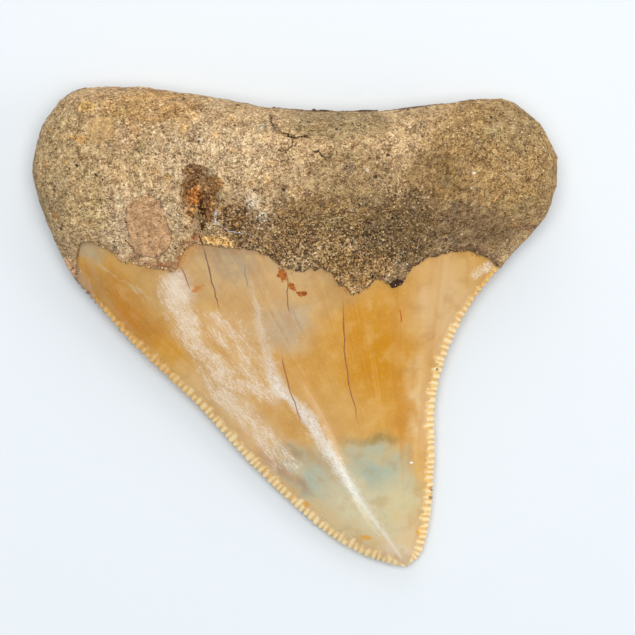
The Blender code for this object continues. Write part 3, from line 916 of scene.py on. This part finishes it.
    def finish(self, piece, roughness, height, depth, fixed):
        """Applies the formulas to the piece. Height 0 to 1 stands for `depth` millimetres of relief."""
        bump = self.node("Bump", {"Strength": 1, "Distance": depth * MM, "Height": height})
        inputs = {"Base Color": self.colour, "Roughness": roughness, "Normal": bump["Normal"]}
        for name, value in inputs.items():
            self.set(self.shader.inputs[name], value)
        for name, value in fixed.items():
            self.shader.inputs[name].default_value = value
        piece.data.materials.append(self.material)
        print(self.material.name, len(self.tree.nodes), "nodes")


# %% [markdown]
# ## Enamel
# Enamel takes up minerals from the ground unevenly, so the amber turns to grey-green near
# the tip and to cream beside the right edge. Fine upright lines follow the growth of the
# tooth, and a few old cracks run down it. A brushed sheen along its left side is a painted
# highlight, laid into the colour.

# %% Enamel
ENAMEL_GROUND = (208, 157, 76)
ENAMEL_ZONES = [  # centre, radii, turn, colour, strength
    ((-6, 9), (26, 10.5), 0, (201, 169, 123), 0.9),
    ((22.5, 3.5), (8.5, 15), 0, (219, 182, 130), 0.95),
    ((12, -3.5), (9, 14.5), 0, (198, 133, 4), 0.95),
    ((3.5, -5.5), (7.5, 10), 0, (204, 148, 58), 0.7),
    ((19.6, -12.5), (3.6, 13), 0, (224, 188, 134), 0.95),
    ((5.4, 5.2), (6.5, 4.2), 0, (184, 142, 84), 0.75),
    ((-20.5, -4), (3.6, 8), 43, (221, 160, 52), 0.9),
    ((-25, 2.2), (3.6, 11), 43, (196, 126, 18), 1),
    ((-30.5, 7), (3.4, 4.5), 30, (186, 134, 58), 0.9),
    ((-15.5, -8.5), (3.2, 5), 42, (232, 194, 134), 0.8),
    ((-22, 5.2), (6.5, 2.3), -40, (196, 152, 84), 0.7),
    ((-30.6, 12.2), (4.4, 2.6), -20, (188, 172, 136), 1),
    ((-1.4, 0.4), (8.2, 5.6), 0, (188, 169, 141), 0.9),
    ((-8.5, 4), (5, 3.6), 0, (198, 158, 102), 0.6),
    ((-10, 10.4), (7.5, 2.8), -8, (170, 148, 118), 0.95),
    # Painted highlight: the lavender-white patch at the top of the brushed sheen.
    ((-17.4, 6.4), (3.6, 3.4), 0, (232, 214, 194), 1),
    ((4.5, -14), (10, 8), 0, (206, 160, 88), 0.6),
    ((-9, -14.5), (13, 6), -47, (219, 182, 132), 0.75),
    ((10, -27.5), (15, 12), -50, (213, 203, 166), 0.95),
    ((1.6, -22.3), (8.6, 5.6), -30, (180, 186, 164), 1),
    ((12.6, -21.4), (8, 5.6), -10, (168, 180, 160), 1),
    ((12.2, -17.2), (5, 2.4), 5, (152, 128, 72), 0.85),
    ((16.2, -13.4), (4.2, 3), 0, (204, 142, 54), 0.6),
    ((15.8, -33.5), (5, 5), 0, (219, 199, 169), 0.9),
    ((6, -29.6), (7.5, 3.2), -32, (209, 187, 141), 0.8),
    ((-1.9, -21.2), (7.5, 2.2), -43, (168, 128, 96), 0.9),
    ((-1, -19.4), (3, 1.4), -20, (148, 138, 104), 0.9),
    ((16, -27), (5, 8.5), 0, (205, 195, 154), 0.85),
    ((19.8, -25), (1.4, 9), 2, (220, 184, 112), 0.6),
]
ENAMEL_CRACKS = [  # points from the top down, half width, colour
    ([(-14.1, 13.1), (-13.3, 10.1), (-12.5, 6.6), (-11.8, 4.3), (-10.9, 1.7)], 0.16, (112, 80, 76)),
    ([(-17.4, 9.5), (-16.6, 7.6), (-15.7, 5.6)], 0.13, (130, 90, 72)),
    ([(-7.6, 9.9), (-7.4, 7.8), (-7, 5.7)], 0.15, (146, 134, 122)),
    ([(-1.3, 8.7), (-1.1, 4.4), (-0.6, 1.7)], 0.14, (122, 90, 74)),
    ([(7.1, 5.7), (7.3, 0.5), (7.7, -5.7), (8.8, -11.3), (9.9, -15.8)], 0.16, (140, 84, 62)),
    ([(-2.2, -3.1), (-1.1, -8.3), (0.2, -12.3), (1.6, -15.3)], 0.16, (146, 88, 62)),
    ([(15.7, 3.1), (16.3, 0.6)], 0.16, (184, 84, 30)),
]
UNDER_CRACKS = [
    ([(-9, 11), (-8.2, 4), (-6.4, -2.5)], 0.13, (104, 74, 58)),
    ([(4.5, 11), (5.6, 3), (8.2, -8), (10.4, -16)], 0.13, (118, 78, 58)),
    ([(16, 9), (15.6, 4), (16.6, -1)], 0.11, (128, 92, 66)),
]
ENAMEL_VEINS = [
    [(-30.6, 10.6), (-27.8, 8), (-25.3, 6.7), (-22.2, 4.6), (-19.9, 3.7)],
    [(-25.3, 6.9), (-22.9, 3.6)],
]
RUST, DARK_RUST, FAINT_RUST = (184, 98, 0), (134, 56, 0), (226, 160, 50)
RUST_SPOTS = [  # centre, radii, turn, colour
    ((-1.9, 8), (1.1, 1.8), 35, RUST), ((-0.5, 6.3), (1.3, 0.8), -50, RUST), ((1, 5.1), (1.5, 0.7), 0, RUST),
    ((-14.8, 5.9), (1.6, 0.7), 35, (204, 128, 54)), ((1.5, -26.9), (1.2, 0.7), -30, FAINT_RUST),
    ((10.8, -32.1), (1.4, 0.6), -10, FAINT_RUST), ((19.3, -31.2), (1.1, 1.5), 0, FAINT_RUST),
]
WHITE_FLECK = ((17.7, -20.6), (0.42, 0.26))
CLINGING_SAND = ((-32.9, 7.4), (1.7, 6), 32)
BROWN_SPECKS = [((21.7, -6.4), 0.5), ((20.9, -24.7), 0.7), ((20.7, -26), 0.6), ((-31.6, 5.4), 0.5)]
# Painted highlight: a white gloss patch near the right shoulder.
PAINTED_GLOSS_PATCH = ((28.7, 8.9), (4, 1.6), 33)
# Painted highlight: the strands below are pale brushed sheen laid into the colour along the crown's left
# side.
LONG_STRAND = [(-19.6, 8.8), (-18.2, 5.6), (-16.9, 1.7), (-15.2, -2.6)]
LONG_STRAND += [(-12.3, -6), (-8.2, -9.2), (-5.2, -12)]
PAINTED_SHEEN_STRANDS = [  # points from the top down, half width, strength
    (LONG_STRAND, 3.5, 1),
    ([(-19.8, 5.7), (-17.2, -0.9), (-14.3, -6.1), (-11.3, -10.6), (-8, -13.6)], 1.8, 0.5),
    ([(-12.7, -8), (-8.1, -13.1), (-5.2, -15.9), (-3, -19), (-0.4, -23.2)], 3.6, 0.74),
    ([(-12.4, 3.2), (-9.8, -1), (-7.2, -4.6), (-4.8, -9), (-3, -12.6)], 4.6, 0.7),
]
# Painted highlight: the path of a narrow white streak down the ridge, laid over the real reflection of the
# streak panel.
PAINTED_NARROW_SHEEN = [(-6.7, 8), (-4.9, -1), (-2.5, -8.6), (1, -12.4), (4, -17.2), (7.8, -23.2)]
PAINTED_NARROW_SHEEN += [(12.3, -29.7), (16.7, -36)]


def paint_enamel():
    paint = Paint("enamel", ENAMEL_GROUND)
    between, noise, oval, line, over = paint.between, paint.noise, paint.oval, paint.line, paint.over
    names = ("faces_up", "to_edge", "along_bead", "groove", "below_crust")
    faces_up, to_edge, along_bead, groove, below_crust = map(paint.mark, names)
    upper = between(faces_up, -0.1, 0.1)
    across = paint.apart(paint.place)[0]
    paint.zones(ENAMEL_ZONES, paint.shaken(4.5, 4))
    # Growth lines point at the tip, so they are noise over the angle seen from it.
    from_tip = paint.apart(paint.node("VectorMath", {0: paint.place, 1: (*TIP, 0)}, operation="SUBTRACT")[0])
    angle = paint.math("ARCTAN2", from_tip[0], from_tip[1])
    fan = paint.node("CombineXYZ", {0: angle * 80, 1: from_tip[1] * 0.07, 2: faces_up})[0]
    off_tip = between(from_tip[1], 5, 24)
    striae = noise(0.8, 4, 4, fan) * off_tip * between(across, 12, 22, 1, 0.4)
    washes = noise(5, 4, 4, fan) * off_tip
    clouds, fine, blots = noise(2.6, 9, 5), noise(0.5, 19, 4), noise(0.4, 2, 4)
    for pattern, low, high, share, tint in (
        (washes, 0, 0.25, 0.25, (218, 172, 96)),
        (washes, 0, -0.25, 0.35, (194, 126, 38)),
        (striae, 0.04, 0.3, 0.35, (228, 178, 92)),
        (striae, -0.04, -0.3, 0.35, (170, 112, 40)),
        (clouds, 0, 0.2, 0.3, (222, 182, 116)),
        (clouds, 0, -0.2, 0.3, (178, 124, 52)),
        (fine, 0, 0.3, 0.2, (232, 194, 128)),
    ):
        over(between(pattern, low, high) * share, tint)
    for path in ENAMEL_VEINS:
        vein = line(path, 0.34, paint.shaken(1.5, 0.6), 0.3)
        over(vein * between(clouds, -0.25, 0.1) * 0.55 * upper, (206, 192, 156))
    margin = between(to_edge, 0.8, 1.5) * between(to_edge, 3.2, 1.8)
    over(margin * 0.35 * between(clouds, -0.3, 0.2), (204, 166, 130))
    # Painted highlight: the brushed sheen is laid into the colour as strands along the crown, made of
    # hair-like strokes that cross each other.
    hair = noise(0.2, 3, stretch=7, turn=0.62) + noise(0.17, 8, stretch=6, turn=-0.95) * 0.8
    patches = noise(1.6, 6, 4, stretch=3, turn=0.6)
    brushed = between(hair, -0.14, 0.16)
    drifting = paint.shaken(4, 1.4)
    painted_sheen = 0
    for path, half_width, strength in PAINTED_SHEEN_STRANDS:
        painted_sheen |= line(path, half_width, drifting, 0.15) * strength
    strokes = between(painted_sheen + patches * 1.8 + hair * 1.3, 0.25, 1.15) * between(painted_sheen, 0, 0.25)
    # Painted highlight: a narrow white streak down the ridge, laid over the real reflection of the streak
    # panel.
    right_of, down = paint.aside(PAINTED_NARROW_SHEEN)
    width = between(down, 0.5, 1.02, 1.3, 0.15) * between(down, 0.1, 0.42, 0.4, 1)
    waver = patches * between(down, 0.45, 0.8, 2.4, 0.4)
    edge = abs(right_of + waver) - width + hair * between(down, 0.8, 1, 3, 0.6)
    narrow = between(edge, 0.35, -0.45) * between(down, 0, 0.1) * between(down, 1, 0.97)
    # Painted highlight: the white gloss patch, broken into strokes.
    gloss = oval(*PAINTED_GLOSS_PATCH)
    gloss = between(gloss + hair * 0.9 + patches, 0.2, 1.1) * between(gloss, 0, 0.4) * 1.2
    # Painted highlight: a pale haze under the sheen's strands, then its bright strokes and the gloss patch.
    over(painted_sheen * between(patches, -0.3, 0.2, 0.15, 0.5) * upper, (224, 192, 150))
    over((strokes | gloss) * (brushed * 0.42 + 0.3) * upper, (243, 228, 206))
    narrow *= (brushed * 0.5 + 0.4) * between(down, 0.25, 0.55, 0.5, 1)
    over(narrow * upper, (238, 236, 229))
    slight = paint.shaken(2.5, 0.4)
    for cracks, side in ((ENAMEL_CRACKS, upper), (UNDER_CRACKS, 1 - upper)):
        for path, half_width, tint in cracks:
            over(line(path, half_width, slight, 0.25) * between(fine, -0.35, 0, 0.5, 0.9) * side, tint)
    for *shape, tint in RUST_SPOTS:
        spot = oval(*shape)
        rusted = between(spot + blots * 1.8, 0.3, 0.46) * between(spot, 0, 0.15) * upper
        over(rusted * between(fine, -0.3, 0.2, 0.95, 0.8), tint)
        if tint == RUST:
            core = between(spot + blots * 1.8, 0.42, 0.66) * upper
            over(core * between(fine, -0.1, 0.15), DARK_RUST)
    # Sand clings to the left shoulder, and dirt and rust gather where the enamel meets the crust.
    clinging = between(oval(*CLINGING_SAND, 0.8, slight) + blots * 0.8, 0.25, 0.7) * upper
    over(clinging * between(fine, -0.2, 0.2, 0.5, 0.9), (182, 146, 114))
    dirt = between(below_crust + clouds * 2, 1.2, 0)
    over(dirt * 0.4, (150, 112, 70))
    crumbs, pick, _ = paint.cells(0.42, 5, paint.shaken(0.6, 0.4))
    rustiest = between(across, -11.5, -15) * between(across, -26, -22)
    rusty = between(pick + clouds * 0.9 + rustiest * 0.42, 0.72, 0.78) * between(crumbs, 0.5, 0.35)
    over(rusty * between(below_crust, 2.4, 0.5) * 0.9, (178, 84, 20))
    # Each bead of the edge is cream on its crest, with thin amber grooves between. The near-white on each
    # crest is partly a painted highlight.
    on_left = between(across, 2, -6)
    golden = between(below_crust - on_left * 15, 14, 0)
    unworn = 1 - on_left * between(below_crust + fine * 3, 9, 4)
    strip = between(along_bead + fine + hair * 0.5, 1.2, 0.75) * unworn
    over(strip * 0.8, paint.mix(golden, (241, 204, 136), (230, 176, 90)))
    crest = between(groove + fine * 0.5, 0.3, 0) * between(along_bead + fine, 1.1, 0.6) * unworn
    over(crest * between(golden, 0, 1, 0.62, 0.3), (254, 236, 196))
    over(strip * between(groove + fine * 0.6, 0.45, 0.8) * 0.5, (214, 156, 78))
    for centre, radius in BROWN_SPECKS:
        speck = between(oval(centre, (radius, radius)) + blots * 1.4, 0.3, 0.7) * upper
        over(speck * 0.75, (128, 76, 34))
    fleck = between(oval(*WHITE_FLECK) + blots * 0.5, 0.25, 0.45) * upper
    over(fleck * 0.9, (248, 248, 240))
    roughness = between(brushed, 0, 1, 0.14, 0.24) + strip * 0.12 + dirt * 0.25
    height = hair * 1.8 + striae * 0.3 + clouds * 0.7
    for path, half_width, _ in ENAMEL_CRACKS:
        height -= line(path, half_width * 1.2, slight) * 0.8 * upper
    fixed = {"Specular IOR Level": 0.35, "Coat Weight": 0.12, "Coat Roughness": 0.1}
    paint.finish(crown_piece, roughness, height, 0.035, fixed)


paint_enamel()

# %% [markdown]
# ## Bone and sand
# The root's colour comes from its grains: tan, cream and brown ones of a third of a
# millimetre, with black specks between them. Tints shade it from pale sand on the left to
# dark, coarse, gold-glinting sand over the enamel. The scar is smooth and pinkish, and the
# hollow is dark and rusty.

# %% Bone and sand
ROOT_GROUND = (184, 157, 117)
ROOT_ZONES = [
    ((-34.5, 24), (9, 16), 0, (175, 152, 110), 0.8),
    ((-12, 26), (16, 8), 0, (199, 175, 137), 0.9),
    ((-22, 33), (13, 5), 0, (172, 136, 84), 0.7),
    ((-7, 27), (4.5, 3.5), 0, (200, 177, 138), 0.8),
    ((6.5, 30.6), (13, 4.5), 0, (145, 126, 89), 0.85),
    ((31, 25), (20, 20), 0, (161, 132, 86), 0.95),
    ((33, 30), (8, 6), -30, (148, 128, 90), 0.7),
    ((8.3, 22.5), (11, 7.5), 0, (150, 127, 90), 0.9),
    ((21, 22.5), (9, 7), 0, (126, 101, 63), 0.8),
    ((25.5, 14.5), (13, 6.5), 0, (128, 104, 74), 0.9),
    ((-3, 13), (14, 5.2), 0, (163, 129, 87), 0.9),
    ((5, 16), (14, 6.5), 0, (157, 125, 79), 0.95),
    ((15.5, 14.5), (11, 9.5), 20, (118, 95, 61), 0.95),
    ((9, 8.5), (10, 5), 0, (162, 127, 78), 0.9),
    ((17, 8), (5, 3), 20, (108, 82, 56), 0.6),
    ((6, 10.5), (5, 3), 0, (154, 123, 70), 0.6),
    ((-31.4, 17.1), (6, 5), 0, (206, 178, 127), 0.8),
    ((-23, 16), (10.6, 9.6), 0, (212, 187, 148), 0.9),
    ((-34.2, 8.8), (1.8, 4.4), 30, (206, 164, 128), 1),
    ((-6.2, 18.8), (2.6, 1.8), 0, (208, 186, 148), 0.8),
    ((8.3, 13.6), (1.4, 1), 0, (205, 180, 130), 0.7),
    ((-18, 12.5), (5, 4), 0, (200, 174, 130), 0.7),
    ((-31.7, 33.6), (2.4, 1), 0, (214, 172, 98), 0.6),
    ((-36.3, 17), (1.2, 0.8), 0, (214, 166, 84), 0.7),
    ((-18.9, 22.5), (1.5, 0.8), 20, (206, 160, 84), 0.6),
    ((30.2, 19.6), (0.8, 0.7), 0, (216, 158, 92), 0.8),
    ((-4.5, 30.1), (1, 1.4), 0, (134, 138, 116), 0.6),
    ((24.8, 17.8), (1.2, 1), 0, (84, 84, 78), 0.4),
    ((16.7, 19.2), (1, 0.9), 0, (76, 76, 72), 0.6),
    ((35.1, 15.6), (1.4, 1), 0, (112, 74, 62), 0.7),
]
TINTS = [  # seed and size of the noise, colour, strength over the pale left side, and all over
    (61, 4.5, (202, 164, 132), 0.4, 0),
    (71, 5, (156, 142, 98), 0, 0.5),
    (81, 2.2, (210, 158, 82), 0.4, 0.15),
    (91, 3, (146, 136, 122), 0, 0.35),
]
HOLLOW_ZONES = [  # with crisp uneven borders
    ((-8.9, 16.2), (3.5, 4.2), 35, (108, 76, 44), 0.9),
    ((-12.3, 21.4), (2.6, 2.2), -30, (160, 110, 56), 0.85),
    (NUTRIENT_PIT["centre"], (4.2, 6), 10, (160, 117, 72), 0.95),
    ((-15, 19.9), (1.9, 2.2), 0, (190, 112, 44), 0.95),
    ((-14.9, 23.4), (3.1, 1.8), 0, (134, 92, 56), 0.85),
    ((-13.9, 16.7), (1.1, 4.2), 6, (48, 30, 18), 1),
]
LEDGE_ZONES = [
    ((-11.6, 12.8), (4.2, 1.7), -10, (230, 186, 116), 0.9),
    ((-6.3, 18.5), (1.7, 1.5), -30, (214, 198, 170), 0.9),
    ((-5, 16.6), (1.5, 1.2), 10, (210, 196, 170), 0.85),
]
# Painted highlight: thin white lines where the ledge beside the pit catches the light.
PAINTED_LEDGE_HIGHLIGHTS = [  # points, and whether the line runs sideways
    ([(-11.7, 17.9), (-11.9, 16.6), (-11.4, 15.4)], False),
    ([(-12.6, 16.3), (-11.5, 15.6), (-10.4, 14.9), (-9.2, 14.4), (-7.6, 14.1), (-6.2, 13.9)], True),
]
COARSE_OVAL = ((6, 12.5), (22, 8.5), 0, 0.7)
BLACK_CHIP = ((15.3, 6.6), (1.6, 1.4), 20)
TOP_RIM = [(-12.2, 35), (-6.1, 34), (0.8, 33.35), (8, 33.1), (14.5, 33.2)]
TOP_RIM += [(21.4, 34.1), (28.3, 34.85), (31.3, 35)]
# Painted shade: dark lines along the top rim of the root and its upper left corner, where the edge rounds
# over.
PAINTED_SHADE_RIMS = [  # points, half width, strength
    ([(-35.4, 34.4), (-34.4, 35.8), (-33, 36.4), (-31.5, 36.8)], 0.5, 0.85),
    (TOP_RIM, 0.36, 0.7),
]
SCAR_LOBES = [((-22.5, 16.9), (3.4, 3.4)), ((-21.9, 13.8), (3.9, 3.5)), ((-22.3, 15.4), (3.6, 3.3))]
BLACK_SPECKS = [  # size and seed of the cells, radius, share of cells without a speck, strength
    (0.55, 3, 0.2, 0.66, 0.8),
    (0.95, 5, 0.2, 0.54, 0.75),
    (2.6, 7, 0.14, 0.6, 0.85),
]
SAND_TONES = [(0, (80, 58, 42)), (0.2, (126, 97, 68)), (0.42, (168, 138, 101)), (0.72, (200, 170, 128))]
SAND_TONES += [(0.92, (222, 198, 158)), (1, (240, 224, 196))]
SAND_MEAN = (163, 139, 104)


def paint_root():
    paint = Paint("fossil_bone", ROOT_GROUND)
    between, noise, oval, over, cells = paint.between, paint.noise, paint.oval, paint.over, paint.cells
    upper = between(paint.mark("faces_up"), -0.1, 0.1)
    above_enamel, across = paint.mark("above_enamel"), paint.apart(paint.place)[0]
    blots = noise(0.9, 2, 4)
    paint.zones(ROOT_ZONES, paint.shaken(2.8, 2.6), upper, blots * 0.9)
    pale_side = between(across, 10, -6)
    for seed, size, tint, on_left, all_over in TINTS:
        over(between(noise(size, seed, 5), 0.06, 0.26) * (pale_side * on_left + all_over), tint)
    clean = rim = 0
    for centre, radii in SCAR_LOBES:
        away = oval(centre, radii, place=paint.shaken(1.6, 0.7))
        clean |= between(away, 0.05, 0.09) * upper
        rim |= between(away, 0.02, 0.05) * upper
    over(clean * 0.9, (189, 151, 111))
    round_patch = oval(ROUND_PATCH, (2.6, 2.6), 0, 0.35, paint.shaken(2, 0.8)) * upper
    over(round_patch * 0.7, (190, 158, 108))
    # The hollow: rust and dark dirt with crisp borders, crumbs in it, and pale ledges beside it.
    chips = between(noise(0.4, 41, 4), -0.25, 0.25)

    def crisp(shape):
        inside = oval(*shape, 0.9)
        return between(inside + blots * 1.5, 0.3, 0.5) * between(inside, 0, 0.1) * upper

    pit = 0
    for *shape, tint, strength in HOLLOW_ZONES:
        share = crisp(shape) * strength
        over(share, tint)
        pit |= share
    over(pit * between(chips, 0.46, 0.2) * 0.82, (50, 30, 18))
    over(pit * between(chips, 0.58, 0.85) * 0.8, (208, 164, 100))
    for *shape, tint, strength in LEDGE_ZONES:
        over(crisp(shape) * strength, tint)
    # The grains. Each zone keeps its own tone, because the pattern is divided by its mean.
    coarse = oval(*COARSE_OVAL, paint.shaken(2.8, 3)) * upper
    contrast = 1.05 + coarse * 0.8 - (clean * 0.42 | round_patch * 0.5)
    middle, pick, other = cells(0.23, 1)
    _, small_pick, _ = cells(0.14, 7)
    pattern = ((pick - 0.5) * 0.5 + (small_pick - 0.5) * 0.34) * contrast + noise(0.8, 5, 5) * 0.95
    over(1, paint.mix(1, paint.ramp(pattern + 0.5, SAND_TONES), SAND_MEAN, "DIVIDE"), "MULTIPLY")
    lines = between(abs(noise(0.5, 31, 3)), 0.06, 0.015) * between(noise(1.6, 33, 3), -0.12, 0.1)
    over(lines * contrast * 0.6, (84, 60, 44))
    clouds = noise(1.8, 4, 4)
    over(between(clouds, 0, 0.3) * 0.35, (214, 186, 140))
    over(between(clouds, 0, -0.3) * 0.4, (110, 84, 52))
    over((rim - clean) * 0.75 * between(blots, -0.2, 0), (118, 80, 58))
    smudge, chance, _ = cells(2.3, 23)
    smudge = between(chance, 0.45, 0.8) * between(smudge + blots * 0.5, 0.3, 0.1)
    over(smudge * contrast * 0.4, (92, 78, 64))
    jagged = paint.shaken(0.5, 0.22)
    for size, seed, radius, most, strength in BLACK_SPECKS:
        speck, chance, _ = cells(size, seed, jagged)
        black = between(chance, most, most + 0.04) * between(speck, radius, 0.6 * radius)
        over(black * contrast * strength, (46, 42, 44))
    fleck, chance, _ = cells(1.1, 9, jagged)
    over(between(chance, 0.7, 0.74) * between(fleck, 0.17, 0.1) * contrast * 0.8, (240, 222, 184))
    gold = between(other, 0.84, 0.9) * between(middle, 0.5, 0.3) * (coarse * 0.5 + 0.5) * (1 - clean)
    over(gold * 0.8, (228, 184, 104))
    crumb, chance, _ = cells(1.5, 15, jagged)
    over(between(chance, 0.86, 0.88) * between(crumb, 0.16, 0.1) * 0.7, (190, 116, 48))
    for path, sideways in ROOT_CRACKS:
        crack = paint.line(path, 0.22, paint.shaken(0.6, 0.6), 0.15, sideways)
        over(crack * 0.9 * upper, (36, 26, 18))
    # A thin dark brown line follows the crust's edge on the right, and rust stains it on the left.
    dark_edge_line = between(above_enamel + blots * 1.2, 0.12, -0.02) * between(across, 9, 13)
    over(dark_edge_line * 0.5 * upper, (90, 58, 46))
    stain = between(above_enamel + blots * 3, 1.2, 0.2) * between(across, -12, -16)
    stain *= between(across, -29, -22, 0.25, 1) * between(pick, 0.6, 0.7)
    over(stain * 0.75 * upper, (166, 88, 40))
    chip = oval(*BLACK_CHIP)
    chip = between(chip + blots * 1.2, 0.3, 0.42) * between(chip, 0, 0.12) * upper
    over(chip * 0.92, (52, 33, 28))
    # Painted shade: dark lines along the top rim of the root and its upper left corner.
    for path, half_width, strength in PAINTED_SHADE_RIMS:
        over(paint.line(path, half_width, paint.shaken(1.2, 0.15), 0.2, True) * strength, (62, 48, 56))
    broken = between(noise(0.8, 51), -0.16, -0.06)
    # Painted highlight: thin white lines along the ledge's broken edge.
    for path, sideways in PAINTED_LEDGE_HIGHLIGHTS:
        painted_glint = paint.line(path, 0.13, paint.shaken(1, 0.5), 0.12, sideways) * broken
        over(painted_glint * 0.85 * upper, (226, 224, 230))
    roughness = between(gold | pit * between(other, 0.5, 0.8), 0, 1, 0.85, 0.3)
    height = between(middle, 0.7, 0.1) * contrast + clouds * 0.6 - lines * 0.6 + blots * pit * 2
    paint.finish(root_piece, roughness, height, 0.07, {"Specular IOR Level": 0.2})


paint_root()

# %% [markdown]
# ## The finish of the sand
# Loose grains are quartz and dark minerals, shinier than the crust they lie in.

# %% The finish of the sand
GRAIN_TONES = [(0, (58, 44, 34)), (0.35, (98, 74, 46)), (0.6, (140, 108, 66)), (0.8, (190, 158, 110))]
GRAIN_TONES += [(0.94, (216, 188, 142)), (1, (240, 228, 204))]


def paint_sand():
    paint = Paint("sand", None)
    facets = paint.between(paint.noise(0.12, 3), -0.3, 0.3)
    paint.colour = paint.ramp(paint.mark("shade") + (facets - 0.5) * 0.25, GRAIN_TONES)
    paint.finish(sand_piece, paint.between(facets, 0, 1, 0.2, 0.55), facets, 0.02, {})


paint_sand()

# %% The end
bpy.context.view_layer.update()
print("made in", round(time.time() - started, 1), "s")
